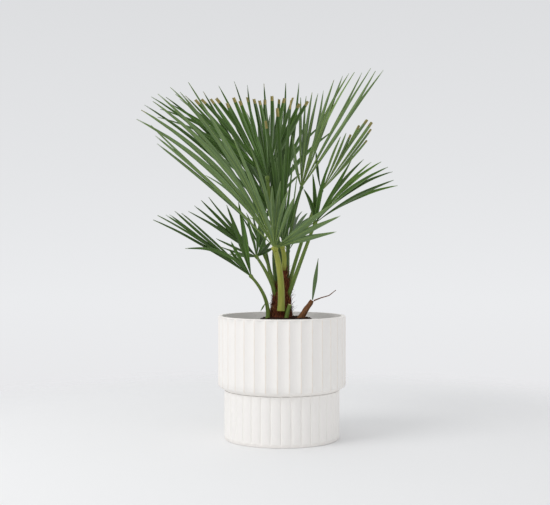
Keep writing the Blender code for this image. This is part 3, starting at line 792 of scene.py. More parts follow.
@dataclass
class FibrousTrunk:
    """The trunk: old sheaths wrapped round it, matted with fibre. Sizes in mm."""
    foot: tuple[float, float, float] = (-2.0, 0.0, 246.8)
    rings: tuple = ((0.0, 0.0, 23.0), (7.0, 0.0, 20.5), (20.0, 1.0, 18.6), (38.0, 2.2, 17.0),
                    (56.0, 3.6, 13.5), (76.0, 5.0, 9.0), (94.0, 6.0, 6.0))
    columns: int = 96
    step: float = 1.2
    sheaths: int = 16
    seed: int = 5

    def core(self, rise: float) -> tuple[float, float]:
        """How far the trunk leans and how thick it is at a height above its foot."""
        for (z0, lean0, r0), (z1, lean1, r1) in zip(self.rings, self.rings[1:]):
            if rise <= z1:
                share = (rise - z0) / (z1 - z0)
                return lean0 + (lean1 - lean0) * share, r0 + (r1 - r0) * share
        return self.rings[-1][1], self.rings[-1][2]

    def sheath_places(self) -> list[tuple[float, float, float, float]]:
        """Bearing, foot, height and half width of each old sheath, spiralling up the trunk."""
        draw = random.Random(self.seed)
        golden = math.radians(137.5)
        return [(i * golden, i * 5.0 - 6.0, draw.uniform(20, 30), draw.uniform(0.7, 1.1))
                for i in range(self.sheaths)]

    def relief(self, bearing: float, rise: float, places: list) -> float:
        """How far the sheaths and strands stand out at a place, in mm."""
        out = 0.0
        for index, (middle, low, height, half) in enumerate(places):
            up = (rise - low) / height
            if not 0.0 <= up <= 1.0:
                continue
            off = abs((bearing - middle + math.pi) % math.tau - math.pi) / half
            edge = math.sqrt(max(0.0, 1.0 - up ** 2.2))
            if off < edge:
                out = max(out, (0.5 + 1.1 * up) * smooth_step(0.0, 0.25, edge - off) + 0.02 * index)
        across = Vector((math.cos(bearing), math.sin(bearing), 0.0))
        strand = noise.noise(across * 11.0 + UP * (rise / 14.0))
        fine = noise.noise(across * 30.0 + UP * (rise / 6.0))
        return out + 0.7 * strand + 0.35 * fine

    def build(self) -> bpy.types.Mesh:
        """Make the trunk and its fibres.

        Returns:
            The trunk's mesh, which the leaflets keep clear of.
        """
        places = self.sheath_places()
        height = self.rings[-1][0]
        steps = int(height / self.step)
        rows = []
        for j in range(steps + 1):
            rise = height * j / steps
            lean, radius = self.core(rise)
            middle = Vector(self.foot) + Vector((lean, 0.0, rise))
            row = []
            for k in range(self.columns):
                bearing = k / self.columns * math.tau
                out = radius + self.relief(bearing, rise, places) * min(1.0, radius / 12.0)
                row.append((middle + Vector((math.cos(bearing), math.sin(bearing), 0.0)) * out) * MM)
            rows.append(row)
        mesh = lofted(rows, along=self.step * MM)
        mesh.materials.append(SHEATH.material())
        new_piece("sheathed_trunk", mesh, Slot.BARK, "trunk")
        self.grow_fibres(mesh)
        return mesh

    @staticmethod
    def strand(length: float, radius: float, bow: float) -> bpy.types.Object:
        """One fibre: a thin three-sided thread that bows and thins to its end."""
        rows = []
        for share in (0.0, 0.3, 0.6, 1.0):
            middle = Vector((bow * share * share, 0.0, length * share))
            thick = radius * (1.0 - 0.75 * share)
            rows.append([(middle + Vector((math.cos(a), math.sin(a), 0.0)) * thick) * MM
                         for a in (0.0, math.tau / 3, math.tau * 2 / 3)])
        return working_object(lofted(rows))

    def grow_fibres(self, surface: bpy.types.Mesh) -> None:
        """Mat the trunk with three kinds of fibre."""
        tree = scatter_tree()
        kinds = (("old_fibres", DARK_FIBRE, 14.0, 0.45, 5.0, 60000, 0.5, 2.0, 0.9),
                 ("red_fibres", RED_FIBRE, 12.0, 0.4, 3.5, 60000, 0.4, 2.4, 0.7),
                 ("young_fibres", STRAW_FIBRE, 11.0, 0.35, 4.0, 9000, 0.45, 2.2, 0.8))
        for index, (name, finish, length, radius, bow, density, outward, upward, stray) in enumerate(kinds):
            shape = self.strand(length, radius, bow)
            mesh = run_nodes(surface.copy(), tree, {
                "Shape": shape, "Material": finish.material(), "Per Square Metre": float(density),
                "Least Size": 0.4, "Most Size": 1.15, "Outward": outward, "Upward": upward, "Stray": stray,
                "Seed": self.seed + index})
            bpy.data.objects.remove(shape, do_unlink=True)
            new_piece(name, mesh, Slot.BARK)


@dataclass(frozen=True)
class Section:
    """A run of neighbouring leaflets, from its first to its last.

    A leaflet is (lean, tilt, length): degrees from upright to the right, degrees from the
    frond's own plane to its front, and mm from the heart to the tip.
    """
    count: int
    first: tuple[float, float, float]
    last: tuple[float, float, float]
    droop: float = 0.1
    swell: float = 0.0
    cut: bool = False


@dataclass(frozen=True)
class FrondPlan:
    """A frond: its petiole's foot, bend and tip, its thickness, and its leaflets; in mm."""
    name: str
    foot: tuple[float, float, float]
    bend: tuple[float, float, float]
    hub: tuple[float, float, float]
    thick: tuple[float, float]
    width: float
    sections: tuple[Section, ...]
    heading: float = 0.0
    facing: Facing = Facing.UPPER
    stalk: RibbedGreen = STALK_GREEN
    tones: tuple[int, ...] = (0, 0, 1, 1, 2)


FRONDS = (
    FrondPlan("centre", (-3, 4, 308), (-17, 7, 420), (-29, 5, 524), (4.6, 3.4), 9.5, (
        Section(4, (-62, -2, 262), (-47, -6, 254), 0.25),
        Section(4, (-43, -8, 226), (-33, -11, 200), 0.05, cut=True),
        Section(6, (-28, -13, 190), (-6, -17, 178), 0.0, cut=True),
        Section(7, (-2, -18, 182), (27, -17, 188), 0.0, cut=True)), tones=(0, 0, 1)),
    FrondPlan("front", (-2, -26.4, 260), (-3, -30.5, 325), (-13, -47, 381), (7.4, 5.2), 12.0, (
        Section(3, (-48, 6, 310), (-45, 4, 345), 0.12),
        Section(7, (-47, 3, 382), (-27, 8, 368), 0.42),
        Section(2, (-21, 20, 243), (-13, 30, 222), 0.15),
        Section(4, (-3, 50, 195), (21, 57, 188), 0.2),
        Section(3, (52, 37, 205), (75, 38, 150), 0.15)),
              facing=Facing.UNDER, stalk=STALK_YELLOW, tones=(0, 1, 1)),
    FrondPlan("right_upper", (6, 8, 288), (15, 26, 400), (39, 38, 506), (4.4, 2.8), 9.0, (
        Section(8, (35, 0, 302), (17, -10, 250), 0.05),
        Section(5, (13, -11, 222), (0, -9, 200), 0.0),
        Section(2, (-9, 6, 110), (-16, 16, 66), 0.0)), stalk=STALK_PAINTED_SHADE, tones=(0, 1, 2)),
    FrondPlan("right_lower", (9, -7, 278), (38, -22, 360), (64, -38, 431), (4.6, 3.0), 9.0, (
        Section(4, (-20, 30, 86), (29, 15, 148), 0.05),
        Section(7, (38, 9, 162), (66, 15, 184), 0.3, 0.05)), tones=(0, 0, 1, 2)),
    FrondPlan("right_middle", (9, -1, 292), (42, 30, 402), (81, 62, 501), (4.2, 2.8), 10.5, (
        Section(6, (41, -16, 158), (28, -21, 150), 0.0, 0.3, cut=True),
        Section(2, (24, -23, 152), (20, -23, 138), 0.0),
        Section(1, (-8, 15, 84), (-8, 15, 84), 0.0)), tones=(0, 1, 2)),
    FrondPlan("left_lower", (-29, -17, 243), (-34, -20, 285), (-58, -32, 325), (4.4, 2.8), 11.0, (
        Section(1, (-66, 15, 150), (-66, 15, 150), 0.55),
        Section(6, (-60, 8, 232), (-47, -2, 192), 0.06),
        Section(2, (-38, 4, 70), (-29, 5, 84), 0.0),
        Section(2, (-18, 6, 150), (-10, 8, 157), 0.12)), tones=(0, 0, 1)),
    FrondPlan("left_middle", (-9, -5, 283), (-26, -13, 326), (-48, -14, 364), (4.4, 2.8), 8.5, (
        Section(3, (-84, -44, 84), (-66, -22, 100), 0.0),
        Section(4, (-56, 2, 168), (-39, 10, 158), 0.08),
        Section(5, (-14, -28, 96), (62, -60, 80), 0.0)), tones=(0, 0, 1)),
    FrondPlan("heart", (3, -2, 339.4), (5, -5, 362), (2, -8, 384), (5.0, 4.2), 9.0, (
        Section(3, (-7, 0, 262), (3, 0, 300), 0.0, cut=True),
        Section(5, (-4, 13, 205), (17, 40, 158), 0.0)), stalk=STALK_YELLOW, tones=(0, 1, 1)),
    FrondPlan("behind", (-6, 7, 286), (-16, 34, 360), (-10, 40, 430), (4.6, 3.2), 10.0, (
        Section(6, (-48, -3, 378), (-36, -8, 346), 0.35),
        Section(3, (-29, -11, 336), (-17, -13, 330), 0.05),
        Section(4, (-11, -14, 325), (9, -11, 310), -0.3)), stalk=STALK_PAINTED_SHADE, tones=(0, 0, 1)),
    FrondPlan("left_small", (-9, 0, 274), (-21, 8, 330), (-38, 22, 374), (3.2, 2.4), 6.5, (
        Section(5, (-30, -14, 94), (0, -48, 95), 0.0),), tones=(0, 0, 1)),
    FrondPlan("back_upper", (1, 11, 276), (-4, 50, 380), (-24, 100, 478), (4.6, 3.0), 10.0, (
        Section(5, (-40, 30, 250), (-8, 36, 272), 0.2),
        Section(8, (0, 37, 272), (50, 26, 235), 0.2)), 180.0, Facing.UNDER, STALK_PAINTED_SHADE),
    FrondPlan("back_left", (-7, 11, 256), (-26, 42, 342), (-42, 92, 424), (4.6, 3.0), 10.0, (
        Section(6, (-34, 46, 235), (-2, 58, 262), 0.25),
        Section(6, (5, 58, 262), (46, 40, 230), 0.25)), 180.0, Facing.UNDER, STALK_PAINTED_SHADE),
    FrondPlan("back_lower", (8, 11, 254), (12, 46, 324), (14, 96, 376), (4.6, 3.0), 10.0, (
        Section(6, (-46, 58, 205), (-4, 70, 255), 0.2),
        Section(6, (6, 70, 255), (48, 56, 205), 0.2)), 180.0, Facing.UNDER, STALK_PAINTED_SHADE),
)


@dataclass(frozen=True)
class Growth:
    """One leaflet as it grew: its aim in degrees, its length in mm, and how it bends."""
    lean: float
    tilt: float
    length: float
    sway: float
    twist: float
    tone: int
    dry: bool


@dataclass
class Frond:
    """A frond: its petiole with teeth, its heart, and its blade of V-folded leaflets."""
    plan: FrondPlan
    materials: dict[str, bpy.types.Material]
    taken: list[BVHTree]
    petiole_steps: int = 26
    petiole_sides: int = 14
    heart_depth: float = 6.0
    start: float = 3.5
    stations: int = 17
    split: float = 0.93
    leaf_thickness: float = 0.55
    overlap: float = 1.06
    broadest: float = 0.45
    taper_power: float = 1.4
    tip_share: float = 0.16
    cut_share: float = 0.75
    swings: tuple = ((0, 0), (0, 3), (0, -3), (1.5, 0), (-1.5, 0), (0, 6), (0, -6), (2.5, 4), (-2.5, 4),
                     (2.5, -4), (-2.5, -4), (0, 11), (0, -11), (4, 8), (-4, 8), (4, -8), (-4, -8))
    shortenings: tuple[float, ...] = (1.0, 0.85, 0.7, 0.55)
    lone_spacing: float = 7.0
    least_spacing: float = 2.2
    lean_stray: float = 0.5
    tilt_stray: float = 1.5
    length_stray: tuple[float, float] = (0.97, 1.02)
    sway_stray: float = 0.018
    twist_stray: float = 22.0
    dry_share: float = 0.12
    tooth: tuple[float, float, float] = (0.7, 0.05, 2.6)
    hub_gap: float = 0.3
    hub_length: float = 11.0
    hub_step: float = 2.5
    hub_sides: int = 12

    def __post_init__(self) -> None:
        """Seed the frond's own draws from its name."""
        self.draw = random.Random("fan " + self.plan.name)

    def route(self, steps: int) -> list[Vector]:
        """Points along the petiole: a quadratic curve through its foot and its tip."""
        foot, bend, hub = (Vector(p) * MM for p in (self.plan.foot, self.plan.bend, self.plan.hub))
        control = bend * 2 - (foot + hub) * 0.5
        shares = [i / steps for i in range(steps + 1)]
        return [foot * (1 - s) ** 2 + control * (2 * s * (1 - s)) + hub * s * s for s in shares]

    def direction(self, lean: float, tilt: float) -> Vector:
        """Unit direction of a leaflet from its lean and tilt, turned by the frond's heading."""
        lean, tilt, turn = (math.radians(a) for a in (lean, tilt, self.plan.heading))
        across, forward = math.sin(lean) * math.cos(tilt), math.sin(tilt)
        x = across * math.cos(turn) + forward * math.sin(turn)
        y = across * math.sin(turn) - forward * math.cos(turn)
        return Vector((x, y, math.cos(lean) * math.cos(tilt)))

    def front(self) -> Vector:
        """The frond's own front, level."""
        turn = math.radians(self.plan.heading)
        return Vector((math.sin(turn), -math.cos(turn), 0.0))

    def grown(self) -> Iterator[tuple[Section, Growth, float]]:
        """Every leaflet: its section, how it grew, and the angle to its neighbour."""
        for section in self.plan.sections:
            steps = max(section.count - 1, 1)
            first, last = self.direction(*section.first[:2]), self.direction(*section.last[:2])
            spacing = first.angle(last, 0.0) / steps if section.count > 1 else math.radians(self.lone_spacing)
            for i in range(section.count):
                share = i / steps
                lean, tilt, length = (a + (b - a) * share for a, b in zip(section.first, section.last))
                length *= 1 + section.swell * 4 * share * (1 - share)
                draw = self.draw
                yield section, Growth(
                    lean + draw.gauss(0, self.lean_stray), tilt + draw.gauss(0, self.tilt_stray),
                    length * draw.uniform(*self.length_stray), draw.gauss(0, self.sway_stray),
                    math.radians(draw.gauss(0, self.twist_stray)), draw.choice(self.plan.tones),
                    draw.random() < self.dry_share), max(spacing, math.radians(self.least_spacing))

    def across(self, section: Section, along: Vector) -> Vector:
        """The direction in which a leaflet is broad: towards its neighbours in the fan."""
        spread = self.direction(*section.last[:2]) - self.direction(*section.first[:2])
        if spread.length < 0.05:
            spread = self.front().cross(UP) * -1.0
        return (spread - along * spread.dot(along)).normalized()

    def half_width(self, section: Section, share: float, length: float, spacing: float) -> float:
        """Half of a leaflet's width in metres, a share of the way along it."""
        near = spacing * share * length * MM / 2 * self.overlap
        whole = share * self.cut_share if section.cut else share
        past = max(whole - self.broadest, 0.0) / (1.0 - self.broadest)
        taper = 1.0 - (1.0 - self.tip_share) * past ** self.taper_power
        return max(min(near, self.plan.width / 2 * MM) * taper, 0.35 * MM)

    def sheet(self, section: Section, heart: Vector, leaf: Growth, spacing: float) -> "LeafSheet":
        """A leaflet's open sheet, folded along its midrib and split at its tip."""
        along = self.direction(leaf.lean, leaf.tilt)
        across = self.across(section, along)
        rise = UP - along * UP.dot(along)
        begin = self.start / leaf.length
        shares = [begin + (1.0 - begin) * (j / (self.stations - 1)) for j in range(self.stations)]
        if not section.cut:
            shares[-2] = self.split + (1.0 - self.split) * 0.6
            shares[-3] = self.split
        middles = []
        for s in shares:
            bow = rise * (section.droop * s * (1 - s)) + across * (leaf.sway * 4 * s * (1 - s))
            middles.append(heart + (along * s + bow) * leaf.length * MM)
        made = LeafSheet()
        for j, s in enumerate(shares):
            ahead = middles[min(j + 1, self.stations - 1)] - middles[max(j - 1, 0)]
            ahead.normalize()
            turn = Matrix.Rotation(leaf.twist * smooth_step(0.2, 1.0, s), 3, ahead)
            side = turn @ (across - ahead * across.dot(ahead)).normalized()
            face = side.cross(ahead) * self.plan.facing.value
            half = self.half_width(section, s, leaf.length, spacing)
            fold = 0.95 - 0.45 * smooth_step(0.05, 0.4, s) + 0.25 * smooth_step(0.6, 1.0, s)
            parted = 0.0 if section.cut else smooth_step(self.split, 1.0, s)
            made.add_row(middles[j], side, face, half, fold, parted, s * leaf.length * MM)
        made.fold_over(self.plan.facing)
        made.tone = leaf.tone
        made.dry = leaf.dry or section.cut
        return made

    def placed(self, section: Section, heart: Vector, leaf: Growth, spacing: float) -> "LeafSheet | None":
        """A leaflet that touches nothing: as grown, or swung a little, or shortened, or None."""
        for shortening in self.shortenings:
            for lean, tilt in self.swings:
                trial = replace(leaf, lean=leaf.lean + lean, tilt=leaf.tilt + tilt,
                                length=leaf.length * shortening)
                sheet = self.sheet(section, heart, trial, spacing)
                tree = sheet.tree()
                if not any(tree.overlap(other) for other in self.taken):
                    return sheet
        return None

    def build_petiole(self) -> None:
        """Make the petiole: flat above, round below, broad at its foot, with teeth on both edges."""
        route = self.route(self.petiole_steps)
        thick, thin = self.plan.thick
        upper = self.front() * self.plan.facing.value
        rings, edges = [], []
        for j, middle in enumerate(route):
            share = j / self.petiole_steps
            ahead = (route[min(j + 1, self.petiole_steps)] - route[max(j - 1, 0)]).normalized()
            face = (upper - ahead * upper.dot(ahead)).normalized()
            side = ahead.cross(face)
            radius = (thick + (thin - thick) * share) * MM
            broad = radius * (1.0 + 0.12 * (1.0 - smooth_step(0.0, 0.12, share)))
            ring = []
            for k in range(self.petiole_sides):
                angle = k / self.petiole_sides * math.tau
                deep = math.sin(angle) * (0.5 if math.sin(angle) > 0 else 0.92)
                ring.append(middle + side * (math.cos(angle) * broad) + face * (deep * radius))
            rings.append(ring)
            edges.append((middle, side, ahead, broad))
        step = (route[1] - route[0]).length
        mesh = lofted(rings, along=step)
        mesh.materials.append(self.materials[self.plan.stalk.name])
        self.taken.append(search_tree(mesh))
        new_piece("stalk_" + self.plan.name, mesh, Slot.STALK, "petiole_" + self.plan.name)
        self.grow_teeth(edges)

    def grow_teeth(self, edges: list) -> None:
        """Set a row of small forward teeth along each edge of the petiole."""
        places, aims, sizes = [], [], []
        for middle, side, ahead, broad in edges[3:-1]:
            for hand in (-1, 1):
                places.append(middle + side * (hand * broad * 0.94))
                aims.append((side * hand + ahead * self.draw.uniform(0.5, 1.0)).normalized())
                sizes.append(self.draw.uniform(0.6, 1.2) * min(1.0, broad / (4 * MM)))
        mesh = bpy.data.meshes.new("teeth_places")
        mesh.from_pydata(places, [], [])
        aim = mesh.attributes.new("aim", "FLOAT_VECTOR", "POINT")
        aim.data.foreach_set("vector", [c for v in aims for c in v])
        size = mesh.attributes.new("size", "FLOAT", "POINT")
        size.data.foreach_set("value", sizes)
        work = bmesh.new()
        foot, tip, length = (size * MM for size in self.tooth)
        bmesh.ops.create_cone(work, cap_ends=True, segments=5, radius1=foot, radius2=tip, depth=length)
        shape = working_object(as_mesh(work, "tooth"))
        grown = run_nodes(mesh, self.materials["row_tree"], {
            "Shape": shape, "Material": self.materials[TOOTH_HORN.name], "Size": 1.0})
        bpy.data.objects.remove(shape, do_unlink=True)
        new_piece("teeth_" + self.plan.name, grown, Slot.STALK)

    def build_blade(self) -> None:
        """Make the blade and put it in the place of its solid."""
        route = self.route(self.petiole_steps)
        ahead = (route[-1] - route[-2]).normalized()
        heart = route[-1] + ahead * self.heart_depth * MM
        sheets = []
        for section, leaf, spacing in self.grown():
            sheet = self.placed(section, heart, leaf, spacing)
            if sheet:
                sheets.append(sheet)
        leaves = LeafSheet.solid(sheets, self.leaf_thickness * MM)
        ribs = [sheet.rib() for sheet in sheets]
        names = [f.name for f in (*UPPER_LEAF, *UNDER_LEAF, MIDRIB, DRY_TIP, self.plan.stalk)]
        whole = joined([leaves, *ribs, self.heart_mesh(route[-1], ahead)], [self.materials[n] for n in names])
        new_piece("fan_" + self.plan.name + "_leaflets", whole, Slot.LEAF, "fan_" + self.plan.name)
        self.taken.extend(sheet.tree() for sheet in sheets)

    def heart_mesh(self, tip: Vector, ahead: Vector) -> bpy.types.Mesh:
        """Where the petiole spreads into the blade: a flattened hand."""
        upper = self.front() * self.plan.facing.value
        face = (upper - ahead * upper.dot(ahead)).normalized()
        side = ahead.cross(face)
        thin = self.plan.thick[1] * MM
        rings = []
        for share, broad, deep in ((0.0, 1.0, 0.7), (0.3, 1.25, 0.75), (0.6, 1.5, 0.7), (0.85, 1.35, 0.5),
                                   (1.0, 0.7, 0.25)):
            middle = tip + ahead * (self.hub_gap + self.hub_length * share) * MM
            rings.append(oval(middle, side, face, thin * broad, thin * deep, self.hub_sides))
        return lofted(rings, material=HUB_PLACE, along=self.hub_step * MM)


class LeafSheet:
    """The open sheet of one leaflet, as rows of points from its midrib out to both edges.

    PER_HALF is its faces from midrib to edge. The midrib's sizes are in mm.
    """
    PER_HALF = 3
    RIB_RADIUS = 0.75
    RIB_THINNING = 0.5
    RIB_DEPTH = 0.35
    RIB_SIDES = 5

    def __init__(self) -> None:
        """Start with no rows."""
        self.points: list[Vector] = []
        self.faces: list[tuple[int, ...]] = []
        self.uvs: list[tuple[float, float]] = []
        self.rows: list[dict[int, list[int]]] = []
        self.keel: list[tuple[Vector, Vector, Vector]] = []
        self.tone = 0
        self.dry = False

    def add_row(self, middle: Vector, side: Vector, face: Vector, half: float, fold: float,
                parted: float, along: float) -> None:
        """Add the row of points at one station.

        Args:
            middle: the midrib's place.
            side: the direction in which the leaflet is broad.
            face: its upper side.
            half: its half width in metres.
            fold: how steeply its halves rise from the midrib.
            parted: how far the tip's two points have parted, from 0 to 1.
            along: metres from the heart, for the veins.
        """
        row: dict[int, list[int]] = {}
        for hand in (-1, 1):
            inner, outer = 0.55 * parted, 1.0 - 0.4 * parted
            row[hand] = []
            for c in range(self.PER_HALF + 1):
                out = inner + (outer - inner) * c / self.PER_HALF
                if c == 0 and parted == 0.0 and hand == 1:
                    row[hand].append(row[-1][0])
                    continue
                raised = fold * half * (out + 0.1 * math.sin(math.pi * out))
                row[hand].append(len(self.points))
                self.points.append(middle + side * (hand * out * half) + face * raised)
                self.uvs.append((hand * out * half, along))
        self.rows.append(row)
        self.keel.append((middle, side, face))

    def fold_over(self, facing: Facing) -> None:
        """Make the faces between the rows, with the upper side outwards."""
        for near, far in zip(self.rows, self.rows[1:]):
            for hand in (-1, 1):
                for c in range(self.PER_HALF):
                    quad = (near[hand][c], near[hand][c + 1], far[hand][c + 1], far[hand][c])
                    self.faces.append(quad if hand * facing.value > 0 else tuple(reversed(quad)))

    def tree(self) -> BVHTree:
        """A search tree of the sheet."""
        return BVHTree.FromPolygons(self.points, self.faces)

    def rib(self) -> bpy.types.Mesh:
        """The midrib: a slim ridge under the fold, thinning to the tip."""
        count = len(self.keel)
        rings = []
        for j, (middle, side, face) in enumerate(self.keel):
            radius = (self.RIB_RADIUS - self.RIB_THINNING * j / (count - 1)) * MM
            centre = middle - face * (self.RIB_DEPTH * MM)
            rings.append(oval(centre, side, face, radius, radius, self.RIB_SIDES))
        step = (self.keel[1][0] - self.keel[0][0]).length
        return lofted(rings, material=RIB_PLACE, along=step)

    @staticmethod
    def solid(sheets: Sequence["LeafSheet"], thickness: float) -> bpy.types.Mesh:
        """Give all sheets of a blade their thickness.

        Args:
            sheets: the blade's sheets.
            thickness: in metres.

        Returns:
            One mesh of closed leaflets. The upper side keeps its tone's material, and the under
            side and rim take the one that lies three places further on.
        """
        points, faces, tones, uvs = [], [], [], []
        for sheet in sheets:
            base = len(points)
            points.extend(sheet.points)
            last = len(sheet.faces) - 2 * LeafSheet.PER_HALF
            for number, face in enumerate(sheet.faces):
                faces.append(tuple(base + i for i in face))
                tones.append(DRY_PLACE if sheet.dry and number >= last else sheet.tone)
                uvs.extend(sheet.uvs[i] for i in face)
        mesh = bpy.data.meshes.new("leaflets")
        mesh.from_pydata(points, [], faces)
        layer = mesh.uv_layers.new(name="veins")
        layer.data.foreach_set("uv", [c for uv in uvs for c in uv])
        mesh.polygons.foreach_set("material_index", tones)
        obj = working_object(mesh)
        for _ in range(HUB_PLACE + 1):
            mesh.materials.append(None)
        thick = obj.modifiers.new("thickness", "SOLIDIFY")
        thick.thickness = thickness
        thick.offset = 0.0
        thick.material_offset = UNDER_PLACE
        thick.material_offset_rim = UNDER_PLACE
        made = plain_mesh(obj)
        for face in made.polygons:
            if face.material_index >= RIB_PLACE:
                face.material_index = DRY_PLACE
        return shade(made, 32.0)


@dataclass
class FootPieces:
    """What stands round the trunk's foot: a cut stalk, and a sucker with its twig and leaf. In mm."""
    materials: dict[str, bpy.types.Material]
    cut_stalk: tuple = ((8.5, -25.5, 243), (11, -26.5, 258), (16, -28, 273), (4.4, 4.2, 4.0))
    sucker: tuple = ((35, -20, 241), (50, -20, 264), (61, -20, 281), (7.0, 5.6, 4.0))
    twig: tuple = ((64.4, -20.6, 280.5), (78, -21, 286), (95, -22, 291), (109, -24, 302))
    twig_radii: tuple = (1.6, 1.2, 1.0, 0.7)
    sucker_leaf: tuple = ((61.7, -20, 282.1), (73.5, -20, 366), 8.6)
    side_blade: tuple = ((-34.0, -21.8, 275), (-43.5, -26, 259), 3.4)
    sides: int = 14
    lance_steps: int = 12

    def limb(self, points: Sequence, radii: Sequence[float], rough: float, steps: int,
             seed: float) -> list[list[Vector]]:
        """Rings of a limb through points, with its skin roughened."""
        rings = []
        for j in range(steps + 1):
            at = j / steps * (len(points) - 1)
            i = min(int(at), len(points) - 2)
            share = at - i
            middle = Vector(points[i]).lerp(Vector(points[i + 1]), share)
            ahead = (Vector(points[i + 1]) - Vector(points[i])).normalized()
            radius = radii[i] + (radii[i + 1] - radii[i]) * share
            side = ahead.cross(Vector((0.0, 1.0, 0.0))).normalized()
            face = side.cross(ahead)
            ring = []
            for k in range(self.sides):
                angle = k / self.sides * math.tau
                bump = noise.noise(Vector((math.cos(angle) * 2, math.sin(angle) * 2, at * 1.5 + seed)))
                out = radius * (1.0 + rough * bump)
                ring.append((middle + side * (math.cos(angle) * out) + face * (math.sin(angle) * out)) * MM)
            rings.append(ring)
        return rings

    def lance(self, low: Sequence[float], high: Sequence[float], width: float) -> bpy.types.Mesh:
        """A lance-shaped leaf, folded a little along its midrib, as a closed mesh."""
        low, high = Vector(low), Vector(high)
        along = (high - low).normalized()
        side = along.cross(Vector((0.0, 1.0, 0.0))).normalized()
        face = side.cross(along)
        rings = []
        for j in range(self.lance_steps + 1):
            s = j / self.lance_steps
            half = width / 2 * max(0.12, (math.sin(math.pi * min(s / 0.7, 1.0) * 0.5 + 0.25) if s < 0.45
                                          else 1.0 - ((s - 0.45) / 0.55) ** 1.5))
            middle = low + (high - low) * s
            thick = 0.35 + 0.5 * (1.0 - s)
            rings.append([(middle + side * (x * half) + face * (y * thick + abs(x) * half * 0.35)) * MM
                          for x, y in ((-1, 0), (-0.5, -1), (0, -1.6), (0.5, -1), (1, 0), (0.5, 1), (0, 1),
                                       (-0.5, 1))])
        return lofted(rings, along=(high - low).length / self.lance_steps * MM)

    def dress(self, name: str, mesh: bpy.types.Mesh, finish: RibbedGreen | Mottled, slot: Slot,
              *nodes: str) -> None:
        """Give a mesh its one finish and put it in the scene."""
        mesh.materials.append(self.materials[finish.name])
        new_piece(name, mesh, slot, *nodes)

    def build(self) -> None:
        """Make every piece round the foot."""
        stalk = self.limb(self.cut_stalk[:3], self.cut_stalk[3], 0.08, 10, 1.0)
        mesh = lofted(stalk, along=3 * MM)
        mesh.materials.append(self.materials[STALK_GREEN.name])
        mesh.materials.append(self.materials[PALE_PITH.name])
        mesh.polygons[len(mesh.polygons) - 1].material_index = 1
        new_piece("cut_stalk_stump", mesh, Slot.STALK, "cut_stalk")
        sucker = lofted(self.limb(self.sucker[:3], self.sucker[3], 0.3, 26, 7.0), along=2 * MM)
        self.dress("sucker_stub", sucker, DRY_STALK, Slot.BARK, "sucker")
        twig = lofted(self.limb(self.twig, self.twig_radii, 0.2, 24, 3.0), along=2 * MM)
        self.dress("sucker_thread", twig, DRY_STALK, Slot.BARK, "sucker_twig")
        self.dress("sucker_lance", self.lance(*self.sucker_leaf), UNDER_LEAF[0], Slot.LEAF, "sucker_leaf")
        self.dress("side_lance", self.lance(*self.side_blade), STALK_GREEN, Slot.STALK, "side_blade")


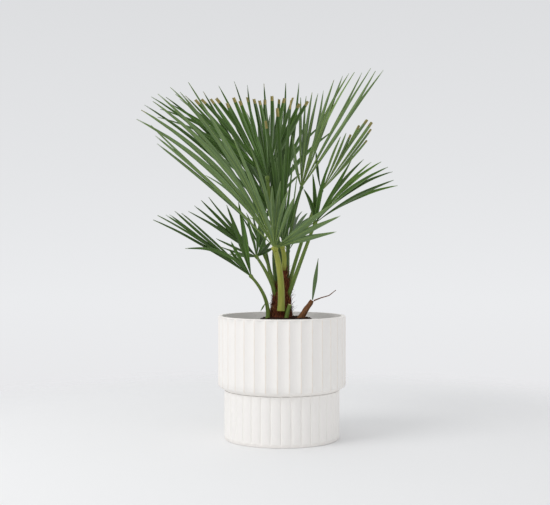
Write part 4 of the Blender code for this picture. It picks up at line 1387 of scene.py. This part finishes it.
@dataclass
class Studio:
    """The plain pale floor, the soft light and the camera, which aren't part of the palm."""
    camera_place: tuple[float, float, float] = (-0.0141, -2.084, 0.387)
    focal_px: float = 1020.0
    image_width: int = 550
    shift_px: float = 4.5
    sensor_mm: float = 36.0
    floor_radius: float = 1.3
    floor_fade: tuple[float, float] = (0.62, 1.2)
    floor_tone: str = "#EDEDED"
    sky: tuple = ((0.0, "#E4E4E6"), (0.42, "#E8E8EA"), (0.475, "#EBECEE"), (0.54, "#E4E5E7"),
                  (0.62, "#DDDEE0"), (1.0, "#DADBDD"))
    panels: tuple = (("key_panel", (-1.9, -1.3, 2.1), 1.5, 26.0), ("top_panel", (-0.4, 0.3, 2.6), 1.8, 8.0))
    aim: tuple[float, float, float] = (0.0, 0.0, 0.3)

    def build_camera(self) -> None:
        """Stand the camera where the photograph was taken from."""
        data = bpy.data.cameras.new("camera")
        data.sensor_width = self.sensor_mm
        data.lens = self.sensor_mm * self.focal_px / self.image_width
        data.shift_y = -self.shift_px / self.image_width
        camera = bpy.data.objects.new("camera", data)
        camera.location = self.camera_place
        camera.rotation_euler = (math.pi / 2, 0.0, 0.0)
        bpy.context.scene.collection.objects.link(camera)
        bpy.context.scene.camera = camera

    def build_floor(self) -> None:
        """Lay a round floor that fades into the backdrop at its edge."""
        work = bmesh.new()
        bmesh.ops.create_circle(work, cap_ends=True, segments=96, radius=self.floor_radius)
        mesh = as_mesh(work, "floor")
        floor = bpy.data.objects.new("floor", mesh)
        bpy.context.scene.collection.objects.link(floor)
        material, shader = start_material("matt_studio_paper", Roughness=0.9, Specular_IOR_Level=0.1,
                                          Base_Color=linear(self.floor_tone))
        tree = material.node_tree
        place = add_node(tree, "ShaderNodeTexCoord")
        away = add_node(tree, "ShaderNodeVectorMath", {0: place.outputs["Object"]}, operation="LENGTH")
        fade = add_node(tree, "ShaderNodeMapRange", {"Value": away.outputs["Value"],
                                                     "From Min": self.floor_fade[0],
                                                     "From Max": self.floor_fade[1],
                                                     "To Min": 1.0, "To Max": 0.0},
                        interpolation_type="SMOOTHSTEP")
        tree.links.new(fade.outputs[0], shader.inputs["Alpha"])
        mesh.materials.append(material)

    def build_light(self) -> None:
        """Light the palm from a pale surround, and softly from the left."""
        world = bpy.data.worlds.new("pale_surround")
        bpy.context.scene.world = world
        world.use_nodes = True
        tree = world.node_tree
        place = add_node(tree, "ShaderNodeTexCoord")
        parts = add_node(tree, "ShaderNodeSeparateXYZ", {0: place.outputs["Generated"]})
        height = add_node(tree, "ShaderNodeMapRange", {"Value": parts.outputs["Z"], "From Min": -1.0})
        ramp = add_node(tree, "ShaderNodeValToRGB", {0: height.outputs[0]})
        for index, (place_at, code) in enumerate(self.sky):
            stops = ramp.color_ramp.elements
            stop = stops[index] if index < 2 else stops.new(place_at)
            stop.position = place_at
            stop.color = linear(code)
        tree.links.new(ramp.outputs[0], tree.nodes["Background"].inputs["Color"])
        for name, spot, size, power in self.panels:
            data = bpy.data.lights.new(name, "AREA")
            data.size = size
            data.energy = power
            panel = bpy.data.objects.new(name, data)
            panel.location = spot
            panel.rotation_euler = (Vector(self.aim) - Vector(spot)).to_track_quat("-Z", "Y").to_euler()
            bpy.context.scene.collection.objects.link(panel)

    def build(self) -> None:
        """Set up the whole studio."""
        self.build_camera()
        self.build_floor()
        self.build_light()
        bpy.context.scene.view_settings.view_transform = "Standard"


def main() -> None:
    """Build the palm round its frame."""
    logging.basicConfig(level=logging.INFO, format="%(message)s")
    for obj in list(bpy.data.objects):
        bpy.data.objects.remove(obj, do_unlink=True)
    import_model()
    Studio().build()
    FlutedPot().build()
    SoilBed().build()
    trunk = FibrousTrunk().build()
    finishes = (*UPPER_LEAF, *UNDER_LEAF, MIDRIB, DRY_TIP, STALK_YELLOW, STALK_GREEN, STALK_PAINTED_SHADE, DRY_STALK,
                PALE_PITH, TOOTH_HORN)
    materials: dict[str, Any] = {finish.name: finish.material() for finish in finishes}
    materials["row_tree"] = row_tree()
    taken = [search_tree(trunk)]
    fronds = [Frond(plan, materials, taken) for plan in FRONDS]
    for frond in fronds:
        frond.build_petiole()
    FootPieces(materials).build()
    for frond in fronds:
        frond.build_blade()


if __name__ == "__main__":
    main()
